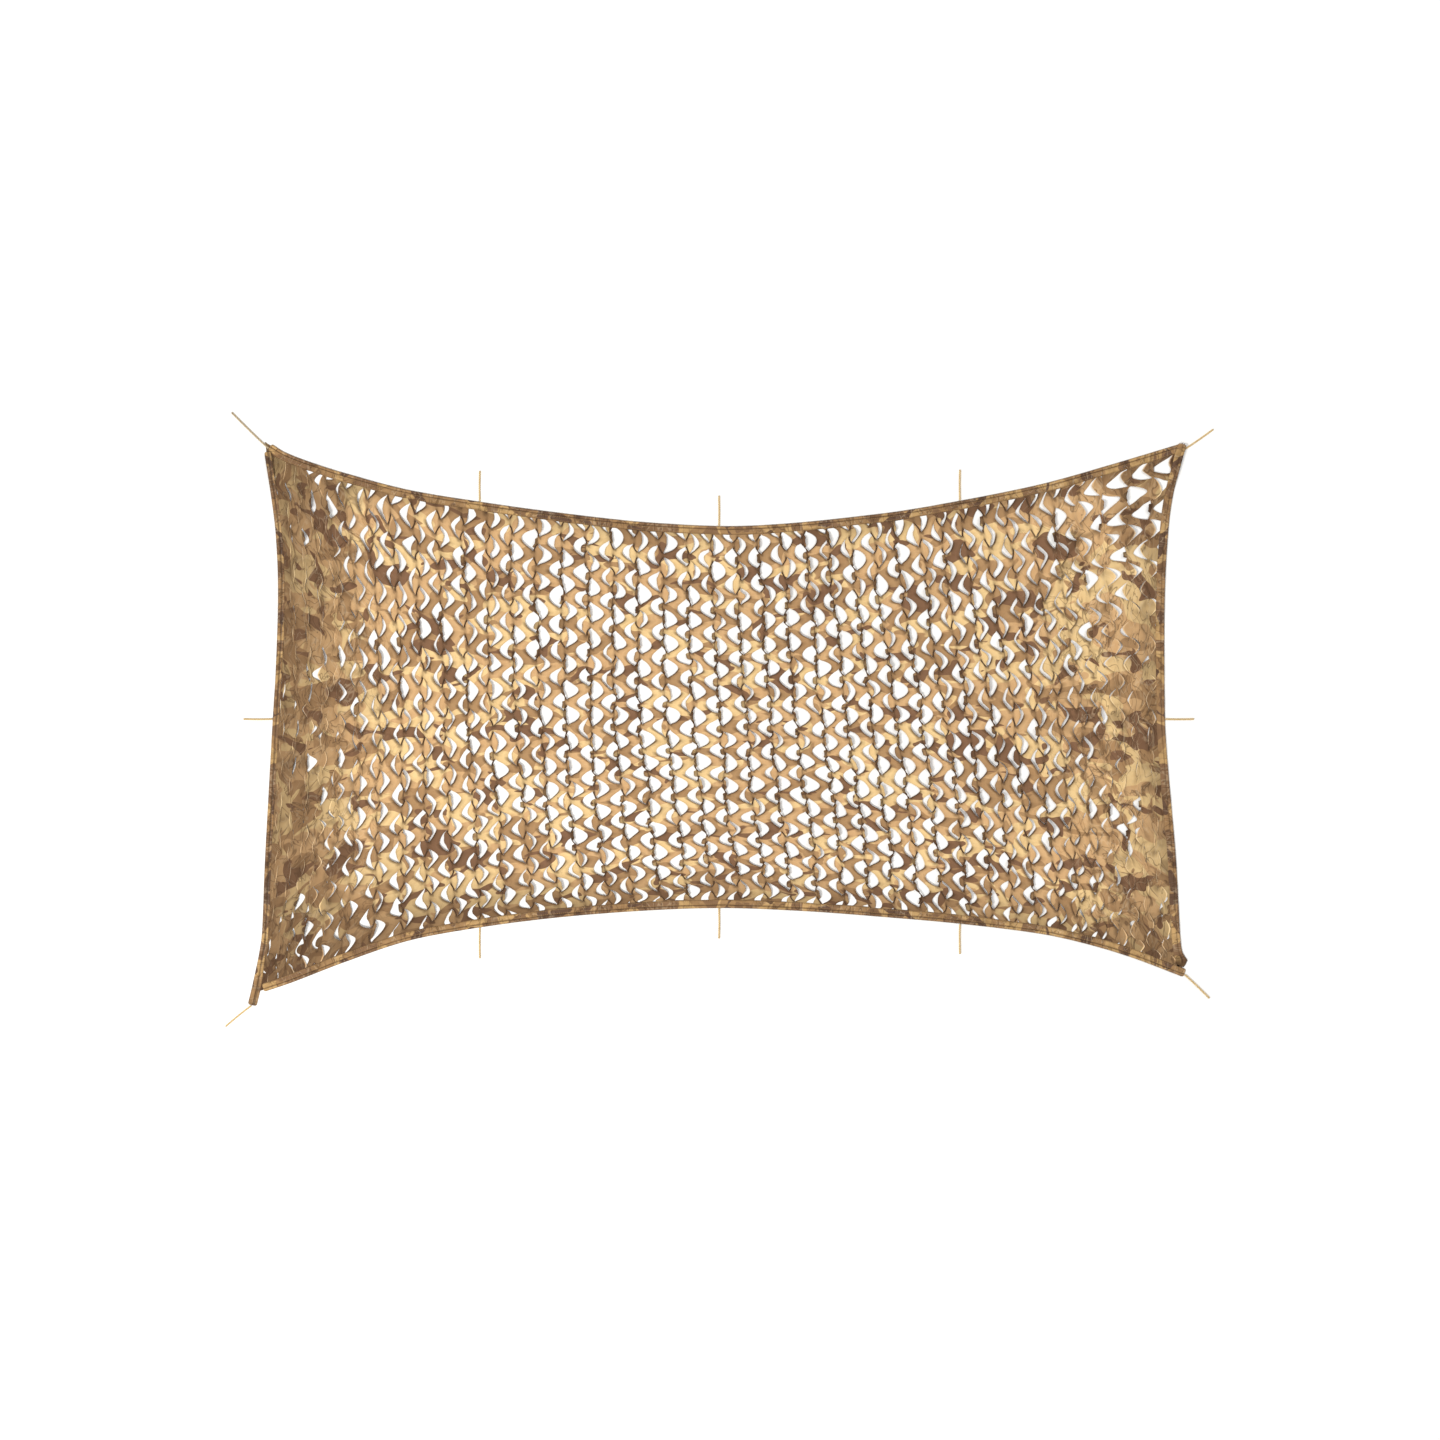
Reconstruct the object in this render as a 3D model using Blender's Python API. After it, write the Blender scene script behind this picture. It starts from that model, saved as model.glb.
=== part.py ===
"""A camouflage net: one slit cloth, drawn out by its corners and lying face up.

The cloth is cut with staggered rows of short chevron slits. Drawn out sideways, the slits
open into holes, widest in the middle of the net and hardly at all along its short sides.
A folded tape binds each side, and twelve cord ties stand out from the tapes.

+X runs along the net, +Y towards its top edge and +Z up. The origin lies on the surface
that the net rests on, under the middle of the bound net.
"""

import math
from collections import namedtuple

import bmesh
import bpy
from mathutils import Vector
from mathutils.geometry import delaunay_2d_cdt

# ---------------------------------------------------------------- driving dimensions, in metres
GAP = 0.0003  # between pieces that are sewn together

CLOTH_THICK = 0.002
RIBBON_WIDTH = 0.024  # of the zigzag strips that the slits leave
CHAIN_WIDTH = 0.009  # of the strip, on edge, that runs between two columns of holes
BRIDGE_HEIGHT = 0.019  # of the cloth left between one hole and the next in a column
TIP_HALF_HEIGHT = 0.008  # of a hole, at its blunt tip

TAPE_WIDTH = 0.028
TAPE_HEIGHT = 0.005  # of the folded tape over the cloth
TAPE_WALL = 0.0012
TAPE_FOLD = 0.0022  # how far the fold's round reaches inwards
TAPE_STEP = 0.100  # between two sections of a tape
CLOTH_IN_TAPE = 0.007  # from the fold to the edge of the cloth inside
CLOTH_LOW_IN_TAPE = TAPE_WALL + GAP

TIE_DIAMETER = 0.006
TIE_STEPS_PER_POINT = 3.0  # diameters between two points of a tie
TIE_SIDES_RESOLUTION = 2
TIE_AXIS_HEIGHT = TIE_DIAMETER / 2 + 0.00005

CROSSING_LIFT = TIE_DIAMETER + 0.0004  # of a short tape where it crosses a long one
CROSSING_FLAT = 0.060  # from the tape's end, at the full lift
CROSSING_RAMP = 0.155  # from the tape's end to where it lies down again
RAMP_SHARES = (1.0, 0.86, 0.70, 0.53, 0.39, 0.16, 0.0)  # of that distance, one for each section
CORNER_CUT = 0.031  # the cloth's edge is this far in where a tape is lifted
CORNER_CUT_END = 0.170
CORNER_CUT_BACK = 0.205

RING_INSETS = (0.032, 0.048)  # rows of points along the edges, where the cloth comes down
RING_STEP = 0.080
FOLD_CLEAR = 0.008  # of the inner of those rows
FOLD_RISE = 0.030  # over which a fold near an edge rises to its height

# ---------------------------------------------------------------- the outer edges of the tapes
EdgePoint = namedtuple("EdgePoint", "along out")

# along is x and out is y
TOP_EDGE = [
    EdgePoint(-1.452, 0.908), EdgePoint(-1.411, 0.882), EdgePoint(-1.338, 0.853),
    EdgePoint(-1.231, 0.818), EdgePoint(-1.019, 0.761), EdgePoint(-0.776, 0.720),
    EdgePoint(-0.516, 0.684), EdgePoint(-0.217, 0.652), EdgePoint(0.098, 0.642),
    EdgePoint(0.524, 0.681), EdgePoint(0.781, 0.723), EdgePoint(1.050, 0.778),
    EdgePoint(1.272, 0.840), EdgePoint(1.508, 0.911),
]
BOTTOM_EDGE = [
    EdgePoint(-1.4765, -0.872), EdgePoint(-1.387, -0.842), EdgePoint(-1.224, -0.779),
    EdgePoint(-1.029, -0.712), EdgePoint(-0.864, -0.677), EdgePoint(-0.581, -0.637),
    EdgePoint(-0.282, -0.611), EdgePoint(0.001, -0.600), EdgePoint(0.261, -0.609),
    EdgePoint(0.524, -0.628), EdgePoint(0.784, -0.651), EdgePoint(1.047, -0.684),
    EdgePoint(1.197, -0.717), EdgePoint(1.346, -0.762), EdgePoint(1.509, -0.824),
]
# along is y and out is x
LEFT_EDGE = [
    EdgePoint(-0.912, -1.530), EdgePoint(-0.845, -1.514), EdgePoint(-0.740, -1.492),
    EdgePoint(-0.678, -1.484), EdgePoint(-0.457, -1.475), EdgePoint(-0.216, -1.462),
    EdgePoint(0.014, -1.449), EdgePoint(0.183, -1.439), EdgePoint(0.430, -1.432),
    EdgePoint(0.609, -1.439), EdgePoint(0.742, -1.455), EdgePoint(0.880, -1.476),
]
RIGHT_EDGE = [
    EdgePoint(-0.835, 1.506), EdgePoint(-0.775, 1.512), EdgePoint(-0.717, 1.502),
    EdgePoint(-0.606, 1.495), EdgePoint(-0.441, 1.486), EdgePoint(-0.278, 1.472),
    EdgePoint(-0.106, 1.457), EdgePoint(0.014, 1.450), EdgePoint(0.378, 1.449),
    EdgePoint(0.573, 1.457), EdgePoint(0.723, 1.473), EdgePoint(0.850, 1.504),
    EdgePoint(0.903, 1.520),
]
RIGHT_TAPE_FROM = -0.775  # this tape stops short of the bottom one

# ---------------------------------------------------------------- the lattice of holes
# A chain is the line between two columns of cells. Each cell holds a zigzag ribbon with a
# column of holes on either side of it. COLUMNS numbers the chains whose place is given, and
# each row of CHAIN_X gives their x at one depth, from 0 at the top edge to 1 at the bottom.
COLUMNS = (-20.5, -16, -12, -8, -4, 0, 4, 8, 12, 16, 20)
ChainRow = namedtuple("ChainRow", "depth x")
CHAIN_X = (
    ChainRow(0.1, (-1.450, -1.265, -0.984, -0.670, -0.345, -0.023, 0.285, 0.581, 0.870, 1.171, 1.478)),
    ChainRow(0.5, (-1.443, -1.231, -0.959, -0.657, -0.332, 0.006, 0.341, 0.661, 0.961, 1.241, 1.450)),
    ChainRow(0.9, (-1.482, -1.285, -0.945, -0.613, -0.282, 0.059, 0.401, 0.727, 1.026, 1.293, 1.498)),
)
TOP_ROW, BOTTOM_ROW = -7.75, 8.90  # the row numbers at the two long edges, mid-net
TOP_ROW_GAIN, BOTTOM_ROW_LOSS = 0.8, 1.5  # how far those change towards the short sides
ROW_SPREAD = 0.0064  # how fast they do, per column squared
DEPTH_BOW = 0.13  # the rows lie closer together towards the bottom edge
# The holes that are cut here are those on both sides of the ribbon in every other cell.
# The flaps of the others lie over them. Towards the short sides the holes are slits, which
# stay shut, and so do those next to a long edge.
OPEN_CELLS = range(-12, 12, 2)
EDGE_ROWS = 1.5

# ---------------------------------------------------------------- folds that stand up from the surface
Fold = namedtuple("Fold", "from_x from_y to_x to_y height half_width")
FOLDS = [
    Fold(-1.352, 0.600, -1.352, 0.060, 0.013, 0.034),
    Fold(-1.362, -0.030, -1.385, -0.500, 0.011, 0.034),
    Fold(-1.268, 0.420, -1.283, -0.120, 0.008, 0.032),
    Fold(-1.345, 0.755, -1.215, 0.600, 0.012, 0.030),
    Fold(-1.225, 0.742, -1.050, 0.668, 0.008, 0.028),
    Fold(-1.385, -0.700, -1.260, -0.575, 0.012, 0.034),
    Fold(-1.290, -0.715, -1.080, -0.640, 0.009, 0.028),
    Fold(1.372, 0.500, 1.368, 0.060, 0.012, 0.034),
    Fold(1.372, -0.050, 1.400, -0.500, 0.010, 0.034),
    Fold(1.285, 0.300, 1.300, -0.250, 0.008, 0.032),
    Fold(1.395, -0.660, 1.240, -0.520, 0.013, 0.034),
    Fold(1.300, -0.665, 1.100, -0.610, 0.009, 0.028),
    Fold(1.400, 0.780, 1.250, 0.690, 0.008, 0.030),
]
FOLD_STATIONS = 6  # points along a fold
FOLD_ACROSS = (-1.0, -0.45, 0.0, 0.45, 1.0)  # and across it, in half widths

# ---------------------------------------------------------------- the ties
# at is where a side tie leaves its tape: x on a long side, y on a short one.
SideTie = namedtuple("SideTie", "name side at length bow")
SIDE_TIES = [
    SideTie("tie_top_left", "top", -0.776, 0.100, 0.0012),
    SideTie("tie_top_middle", "top", 0.001, 0.099, -0.0010),
    SideTie("tie_top_right", "top", 0.784, 0.100, 0.0010),
    SideTie("tie_bottom_left", "bottom", -0.776, 0.100, -0.0010),
    SideTie("tie_bottom_middle", "bottom", 0.001, 0.099, 0.0012),
    SideTie("tie_bottom_right", "bottom", 0.784, 0.098, -0.0012),
    SideTie("tie_left", "left", 0.014, 0.095, 0.0010),
    SideTie("tie_right", "right", 0.014, 0.094, -0.0010),
]
# A corner tie leaves the end of the tape that it names, at an inset from the tape's fold.
CornerTie = namedtuple("CornerTie", "name tape end inset angle_deg length bow")
CORNER_TIES = [
    CornerTie("tie_top_left_corner", "binding_top", "first", 0.018, 135.8, 0.168, 0.0015),
    CornerTie("tie_top_right_corner", "binding_top", "last", 0.021, 34.7, 0.112, -0.0012),
    CornerTie("tie_bottom_right_corner", "binding_bottom", "last", 0.010, -43.8, 0.112, 0.0012),
    CornerTie("tie_bottom_left_corner", "binding_left", "first", 0.014, -141.1, 0.108, -0.0015),
]

Finish = namedtuple("Finish", "name colour roughness")
CLOTH_FINISH = Finish("printed_cloth", (0.55, 0.38, 0.20, 1.0), 0.75)
TAPE_FINISH = Finish("printed_tape", (0.43, 0.29, 0.16, 1.0), 0.80)
TIE_FINISH = Finish("straw_cord", (0.72, 0.58, 0.36, 1.0), 0.85)


def material(finish):
    """The Principled material of a finish, made once."""
    found = bpy.data.materials.get(finish.name)
    if found:
        return found
    made = bpy.data.materials.new(finish.name)
    made.use_nodes = True
    shader = made.node_tree.nodes["Principled BSDF"]
    shader.inputs["Base Color"].default_value = finish.colour
    shader.inputs["Roughness"].default_value = finish.roughness
    shader.inputs["Metallic"].default_value = 0.0
    return made


def add_object(name, data, finish):
    """A scene object with that data and finish."""
    data.materials.append(material(finish))
    made = bpy.data.objects.new(name, data)
    bpy.context.scene.collection.objects.link(made)
    return made


def add_closed_mesh(name, mesh, finish):
    """A scene object from a closed bmesh, which it frees, with all its faces pointing out."""
    bmesh.ops.recalc_face_normals(mesh, faces=mesh.faces)
    data = bpy.data.meshes.new(name)
    mesh.to_mesh(data)
    mesh.free()
    return add_object(name, data, finish)


def smooth_value(ats, values, at):
    """The value of a smooth curve through (ats, values), which run upwards, at one place."""
    last = len(ats) - 1
    i = min(max(sum(a <= at for a in ats) - 1, 0), last - 1)

    def slope(j):
        before, after = max(j - 1, 0), min(j + 1, last)
        return (values[after] - values[before]) / (ats[after] - ats[before])

    span = ats[i + 1] - ats[i]
    t = (at - ats[i]) / span
    if not 0.0 <= t <= 1.0:
        end = 0 if t < 0.0 else last
        return values[end] + slope(end) * (at - ats[end])
    rise = values[i + 1] - values[i]
    bend_in = slope(i) * span - rise
    bend_out = rise - slope(i + 1) * span
    return values[i] + rise * t + t * (1 - t) * (bend_in * (1 - t) + bend_out * t)


class Edge:
    """One outer edge of the net. inwards is +1 where the net lies on the side of larger out.

    Its tape starts at tape_from, or else at the first point.
    """

    def __init__(self, points, runs_along_x, inwards, tape_from=None):
        self.ats = [p.along for p in points]
        self.outs = [p.out for p in points]
        self.runs_along_x = runs_along_x
        self.inwards = inwards
        self.tape_from = self.ats[0] if tape_from is None else tape_from

    def out(self, at):
        """How far out the edge is at that place along it."""
        return smooth_value(self.ats, self.outs, at)

    def slope(self, at):
        """The edge's slope there."""
        step = 0.001
        return (self.out(at + step) - self.out(at - step)) / (2 * step)

    def inset(self, at, distance):
        """The out of a line that distance inside the edge."""
        return self.out(at) + self.inwards * distance * math.hypot(1.0, self.slope(at))

    def place(self, at, out):
        """The point with these two values, as x and y."""
        return Vector((at, out)) if self.runs_along_x else Vector((out, at))

    def tangent(self, at):
        """The direction in which along grows, as a unit vector."""
        return self.place(1.0, self.slope(at)).normalized()

    def normal(self, at):
        """The direction into the net, square to the edge."""
        return (self.place(-self.slope(at), 1.0) * self.inwards).normalized()


EDGES = {
    "top": Edge(TOP_EDGE, True, -1),
    "bottom": Edge(BOTTOM_EDGE, True, 1),
    "left": Edge(LEFT_EDGE, False, 1),
    "right": Edge(RIGHT_EDGE, False, -1, RIGHT_TAPE_FROM),
}


# ---------------------------------------------------------------- tapes
def tape_section():
    """The folded tape cut across, as (inwards, height) pairs: a U that is open to the cloth."""
    middle = TAPE_HEIGHT / 2
    slot_low, slot_high = TAPE_WALL, TAPE_HEIGHT - TAPE_WALL
    return [
        (TAPE_WIDTH, 0.0), (TAPE_FOLD, 0.0), (0.0, middle), (TAPE_FOLD, TAPE_HEIGHT),
        (TAPE_WIDTH, TAPE_HEIGHT), (TAPE_WIDTH, slot_high), (TAPE_FOLD + TAPE_WALL, slot_high),
        (TAPE_FOLD + TAPE_WALL, slot_low), (TAPE_WIDTH, slot_low),
    ]


def lift(from_end):
    """How high a short tape's underside is, at a distance from its crossing end."""
    share = (CROSSING_RAMP - from_end) / (CROSSING_RAMP - CROSSING_FLAT)
    share = min(max(share, 0.0), 1.0)
    return CROSSING_LIFT * share * share * (3 - 2 * share)


def stations(side, crosses):
    """Places of a tape's sections: one at each tie, and more where it crosses another tape."""
    edge = EDGES[side]
    last = edge.ats[-1]
    end = [last - CROSSING_RAMP * share for share in RAMP_SHARES] if crosses else [last]
    fixed = [edge.tape_from] + sorted(tie.at for tie in SIDE_TIES if tie.side == side) + [end[0]]
    places = []
    for start, stop in zip(fixed, fixed[1:]):
        count = round((stop - start) / TAPE_STEP)
        places += [start + (stop - start) * i / count for i in range(count)]
    return places + end


def add_tape(name, side, crosses=False):
    """A folded tape along one side. One that crosses another tape is lifted at its last end."""
    edge = EDGES[side]
    mesh = bmesh.new()
    rings = []
    for at in stations(side, crosses):
        low = lift(edge.ats[-1] - at) if crosses else 0.0
        start, inwards = edge.place(at, edge.out(at)), edge.normal(at)
        ring = []
        for across, height in tape_section():
            place = start + inwards * across
            ring.append(mesh.verts.new((place.x, place.y, low + height)))
        rings.append(ring)
    sides = len(rings[0])
    for before, after in zip(rings, rings[1:]):
        for i in range(sides):
            j = (i + 1) % sides
            mesh.faces.new((before[i], before[j], after[j], after[i]))
    mesh.faces.new(rings[0])
    mesh.faces.new(list(reversed(rings[-1])))
    return add_closed_mesh(name, mesh, TAPE_FINISH)


# ---------------------------------------------------------------- the lattice
def chain_x(column, depth):
    """The x of a chain at a depth, by the parabola through the three rows of CHAIN_X."""
    a, b, c = (smooth_value(COLUMNS, row.x, column) for row in CHAIN_X)
    t = (depth - CHAIN_X[0].depth) / (CHAIN_X[2].depth - CHAIN_X[0].depth)
    return a * (1 - t) * (1 - 2 * t) + 4 * b * t * (1 - t) + c * t * (2 * t - 1)


def row_range(column):
    """The row numbers at the top and bottom edges, at a column."""
    spread = ROW_SPREAD * column * column
    spread = spread / (1 + spread / 2)
    return TOP_ROW + TOP_ROW_GAIN * spread, BOTTOM_ROW - BOTTOM_ROW_LOSS * spread


def spot(column, row):
    """Where a point of the lattice lies, as x and y."""
    top, bottom = row_range(column)
    depth = (row - top) / (bottom - top)
    x = chain_x(column, depth)
    down = depth + DEPTH_BOW * depth * (1 - depth)
    return Vector((x, EDGES["top"].out(x) * (1 - down) + EDGES["bottom"].out(x) * down))


def hole_reach(pitch, period):
    """How far a hole reaches from its chain: the ribbon keeps its width as it is drawn out."""
    lean = math.pi / 4
    for _ in range(20):
        across = RIBBON_WIDTH / math.cos(lean)
        swing = max((pitch - across - CHAIN_WIDTH) / 2, 0.0)
        lean = (lean + math.atan2(4 * swing, period)) / 2
    return pitch / 2 + swing - across / 2


def hole_outline(chain, row, side):
    """The outline of the hole on one side of a chain, side being +1 for the right."""
    pitch = (spot(chain + side, row) - spot(chain, row)).length
    period = (spot(chain, row + 0.5) - spot(chain, row - 0.5)).length
    reach = hole_reach(pitch, period)
    half = (period - BRIDGE_HEIGHT) / 2
    flat = CHAIN_WIDTH / 2
    shape = [(flat, -half), (reach, -TIP_HALF_HEIGHT), (reach, TIP_HALF_HEIGHT), (flat, half)]
    return [spot(chain + side * u / pitch, row + v / period) for u, v in shape]


def largest_holes():
    """The outlines of the holes that are cut through the solid."""
    found = []
    for cell in OPEN_CELLS:
        top, bottom = row_range(cell + 0.5)
        for row in range(math.ceil(top + EDGE_ROWS), math.floor(bottom - EDGE_ROWS) + 1):
            found.append(hole_outline(cell, row, 1))
            if row + 0.5 < bottom - EDGE_ROWS:
                found.append(hole_outline(cell + 1, row + 0.5, -1))
    return found


# ---------------------------------------------------------------- the cloth
def ring(inset, corner_inset):
    """A closed line that distance inside the four edges, and further in at the top corners."""
    def side_out(edge, at):
        from_top = edge.ats[-1] - at
        back = (CORNER_CUT_BACK - from_top) / (CORNER_CUT_BACK - CORNER_CUT_END)
        distance = inset + (corner_inset - inset) * min(max(back, 0.0), 1.0)
        return edge.inset(at, distance)

    def corner(long_side, short_side):
        x, y = 1.4 * (1 if short_side == "right" else -1), 0.0
        for _ in range(12):
            y = EDGES[long_side].inset(x, inset)
            x = side_out(EDGES[short_side], y)
        return Vector((x, y))

    corners = [corner("top", "left"), corner("top", "right"),
               corner("bottom", "right"), corner("bottom", "left")]
    line = []
    for i, side in enumerate(("top", "right", "bottom", "left")):
        edge, start, end = EDGES[side], corners[i], corners[(i + 1) % 4]
        a, b = (start.x, end.x) if edge.runs_along_x else (start.y, end.y)
        count = round(abs(b - a) / RING_STEP)
        ats = [a + (b - a) * k / count for k in range(1, count)]
        if not edge.runs_along_x:
            cut = [edge.ats[-1] - CORNER_CUT_BACK, edge.ats[-1] - CORNER_CUT_END]
            ats = [at for at in ats if min(abs(at - c) for c in cut) > RING_STEP / 3] + cut
        line.append(start)
        for at in sorted(ats, reverse=b < a):
            out = edge.inset(at, inset) if edge.runs_along_x else side_out(edge, at)
            line.append(edge.place(at, out))
    return line


def fold_lines():
    """Lines of points along each fold, at shares of its half width, so that faces follow it."""
    lines = []
    for fold in FOLDS:
        start, end = Vector((fold.from_x, fold.from_y)), Vector((fold.to_x, fold.to_y))
        along = (end - start).normalized()
        across = Vector((-along.y, along.x))
        for share in FOLD_ACROSS:
            aside = across * (fold.half_width * share)
            line = [start.lerp(end, i / (FOLD_STATIONS - 1)) + aside for i in range(FOLD_STATIONS)]
            if min(inset_of(p) for p in line) > RING_INSETS[1] + FOLD_CLEAR:
                lines.append(line)
    return lines


def inset_of(place):
    """How far a place is from the nearest outer edge of the net."""
    insets = []
    for edge in EDGES.values():
        at, out = (place.x, place.y) if edge.runs_along_x else (place.y, place.x)
        insets.append(edge.inwards * (out - edge.out(at)) / math.hypot(1.0, edge.slope(at)))
    return min(insets)


def fold_height(place):
    """How high the folds lift the cloth at a place."""
    rise = min(max((inset_of(place) - RING_INSETS[1]) / FOLD_RISE, 0.0), 1.0)
    height = 0.0
    for fold in FOLDS:
        start, end = Vector((fold.from_x, fold.from_y)), Vector((fold.to_x, fold.to_y))
        run = end - start
        share = (place - start).dot(run) / run.length_squared
        away = (place - start - run * share).length
        if not 0.0 <= share <= 1.0 or away >= fold.half_width:
            continue
        crown = math.cos(math.pi / 2 * away / fold.half_width) ** 2
        height = max(height, fold.height * crown * math.sin(math.pi * share) ** 0.5)
    return height * rise


class Plan:
    """The cloth seen from above: points, and the lines that its faces follow."""

    def __init__(self):
        self.points = []
        self.lines = []

    def add(self, line, closed):
        """Adds a line and returns the numbers of its points."""
        first = len(self.points)
        self.points.extend(line)
        numbers = range(first, len(self.points))
        self.lines.extend(zip(numbers, numbers[1:]))
        if closed:
            self.lines.append((numbers[-1], first))
        return numbers

    def triangles(self):
        """Places, the number of the point that each comes from, and triangles between them."""
        places, _, faces, sources, _, _ = delaunay_2d_cdt(self.points, self.lines, [], 1, 1e-7)
        return places, [min(source) for source in sources], faces


def rim_of(triangles):
    """The sides of triangles that no other triangle shares."""
    sides = {side for a, b, c in triangles for side in ((a, b), (b, c), (c, a))}
    return [(start, end) for start, end in sides if (end, start) not in sides]


def add_cloth():
    """The slit cloth as one sheet, with its largest holes cut through and its folds raised."""
    plan = Plan()
    in_tape = set(plan.add(ring(CLOTH_IN_TAPE, CORNER_CUT), closed=True))
    mouth_in_corner = (CORNER_CUT + RING_INSETS[1]) / 2
    in_tape.update(plan.add(ring(RING_INSETS[0], mouth_in_corner), closed=True))
    plan.points.extend(ring(RING_INSETS[1], RING_INSETS[1]))
    hole_of = {}
    for number, hole in enumerate(largest_holes()):
        hole_of.update((point, number) for point in plan.add(hole, closed=True))
    for line in fold_lines():
        plan.add(line, closed=False)
    places, sources, triangles = plan.triangles()

    def in_one_hole(triangle):
        holes = {hole_of.get(sources[i]) for i in triangle}
        return len(holes) == 1 and None not in holes

    triangles = [triangle for triangle in triangles if not in_one_hole(triangle)]
    mesh = bmesh.new()
    low, high = [], []
    for place, source in zip(places, sources):
        height = CLOTH_LOW_IN_TAPE if source in in_tape else fold_height(place)
        low.append(mesh.verts.new((place.x, place.y, height)))
        high.append(mesh.verts.new((place.x, place.y, height + CLOTH_THICK)))
    for a, b, c in triangles:
        mesh.faces.new((high[a], high[b], high[c]))
        mesh.faces.new((low[c], low[b], low[a]))
    for start, end in sorted(rim_of(triangles)):
        mesh.faces.new((high[end], high[start], low[start], low[end]))
    return add_closed_mesh("net_cloth", mesh, CLOTH_FINISH)


# ---------------------------------------------------------------- ties
def clear_start(start, direction, outward):
    """The start of a tie that leaves a face at a slant, with its rim just clear of the face."""
    cosine = direction.dot(outward)
    sine = math.sqrt(max(0.0, 1 - cosine * cosine))
    return start + direction * ((GAP + TIE_DIAMETER / 2 * sine) / cosine)


def add_tie(name, start, direction, length, bow):
    """A cord that lies nearly straight on the surface, from the tape to its bare end."""
    across = Vector((-direction.y, direction.x))
    count = math.ceil(length / (TIE_DIAMETER * TIE_STEPS_PER_POINT)) + 1
    curve = bpy.data.curves.new(name, "CURVE")
    curve.dimensions = "3D"
    curve.bevel_depth = TIE_DIAMETER / 2
    curve.bevel_resolution = TIE_SIDES_RESOLUTION
    curve.use_fill_caps = True
    spline = curve.splines.new("POLY")
    spline.points.add(count - 1)
    for i, point in enumerate(spline.points):
        share = i / (count - 1)
        sideways = bow * math.sin(math.pi * share) * (1 - 0.4 * share)
        place = start + direction * (length * share) + across * sideways
        point.co = (place.x, place.y, TIE_AXIS_HEIGHT, 1.0)
    return add_object(name, curve, TIE_FINISH)


def add_side_tie(tie):
    """A tie that leaves the fold of a tape, square to the net's side."""
    edge = EDGES[tie.side]
    direction = edge.place(0.0, -edge.inwards)
    start = edge.place(tie.at, edge.out(tie.at))
    start = clear_start(start, direction, -edge.normal(tie.at))
    return add_tie(tie.name, start, direction, tie.length, tie.bow)


def add_corner_tie(tie):
    """A tie that leaves the end of a tape."""
    edge = EDGES[tie.tape.removeprefix("binding_")]
    at = edge.tape_from if tie.end == "first" else edge.ats[-1]
    outward = edge.tangent(at) * (-1 if tie.end == "first" else 1)
    angle = math.radians(tie.angle_deg)
    direction = Vector((math.cos(angle), math.sin(angle)))
    start = edge.place(at, edge.out(at)) + edge.normal(at) * tie.inset
    return add_tie(tie.name, clear_start(start, direction, outward), direction, tie.length, tie.bow)


def main():
    """Clears the scene and models the net."""
    for old in list(bpy.data.objects):
        bpy.data.objects.remove(old, do_unlink=True)
    add_cloth()
    add_tape("binding_top", "top")
    add_tape("binding_bottom", "bottom")
    add_tape("binding_left", "left", crosses=True)
    add_tape("binding_right", "right", crosses=True)
    for tie in SIDE_TIES:
        add_side_tie(tie)
    for tie in CORNER_TIES:
        add_corner_tie(tie)


main()
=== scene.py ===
"""Looks of a camouflage net that lies drawn out, face up, on a pale floor.

One printed cloth is slit in staggered rows and drawn out into zigzag ribbons. Narrow chains run
between the columns of holes, and the leaf that is cut out of each hole stays on its chain, flat or
curled up. Folded tapes bind the four sides, and cord ties stand out from them.

Sizes are in metres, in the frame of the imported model: +X runs along the net, +Y towards its top
edge and +Z up.
"""

import logging
import math
from collections.abc import Sequence
from dataclasses import dataclass
from enum import Enum

import bpy
import numpy as np
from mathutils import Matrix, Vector


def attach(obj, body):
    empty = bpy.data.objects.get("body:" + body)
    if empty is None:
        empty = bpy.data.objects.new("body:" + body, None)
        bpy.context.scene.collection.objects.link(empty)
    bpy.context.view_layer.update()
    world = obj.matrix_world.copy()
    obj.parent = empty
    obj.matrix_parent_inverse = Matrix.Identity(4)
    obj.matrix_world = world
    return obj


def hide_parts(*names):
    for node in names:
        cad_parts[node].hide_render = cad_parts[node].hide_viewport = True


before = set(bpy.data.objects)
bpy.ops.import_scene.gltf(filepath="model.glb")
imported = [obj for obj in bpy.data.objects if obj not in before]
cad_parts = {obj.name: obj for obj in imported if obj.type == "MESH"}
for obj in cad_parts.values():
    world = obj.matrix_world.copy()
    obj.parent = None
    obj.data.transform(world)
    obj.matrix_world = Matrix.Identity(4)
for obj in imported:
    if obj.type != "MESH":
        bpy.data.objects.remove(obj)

LOG = logging.getLogger("camouflage_net")
BODY = "root"
DARKEST = 0.92  # the most that a cut, a fold or the inside of a roll is shaded
Array = np.ndarray
Socket = bpy.types.NodeSocket
Piece = bpy.types.Object


# ---------------------------------------------------------------- helpers
def srgb(code: str) -> tuple[float, ...]:
    """The linear colour of a six-digit screen colour."""
    part = np.array([int(code[i:i + 2], 16) for i in (0, 2, 4)]) / 255
    return (*np.where(part <= 0.04045, part / 12.92, ((part + 0.055) / 1.055) ** 2.4), 1.0)


def smooth(share: Array) -> Array:
    """A share from 0 to 1, eased in and out."""
    return share * share * (3 - 2 * share)


def ramp(value: Array, low: float, high: float) -> Array:
    """A smooth step from 0 at low to 1 at high."""
    return smooth(np.clip((value - low) / (high - low), 0.0, 1.0))


def fade(value: Array, low: float, high: float) -> Array:
    """A smooth step from 1 at low to 0 at high."""
    return 1 - ramp(value, low, high)


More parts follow.
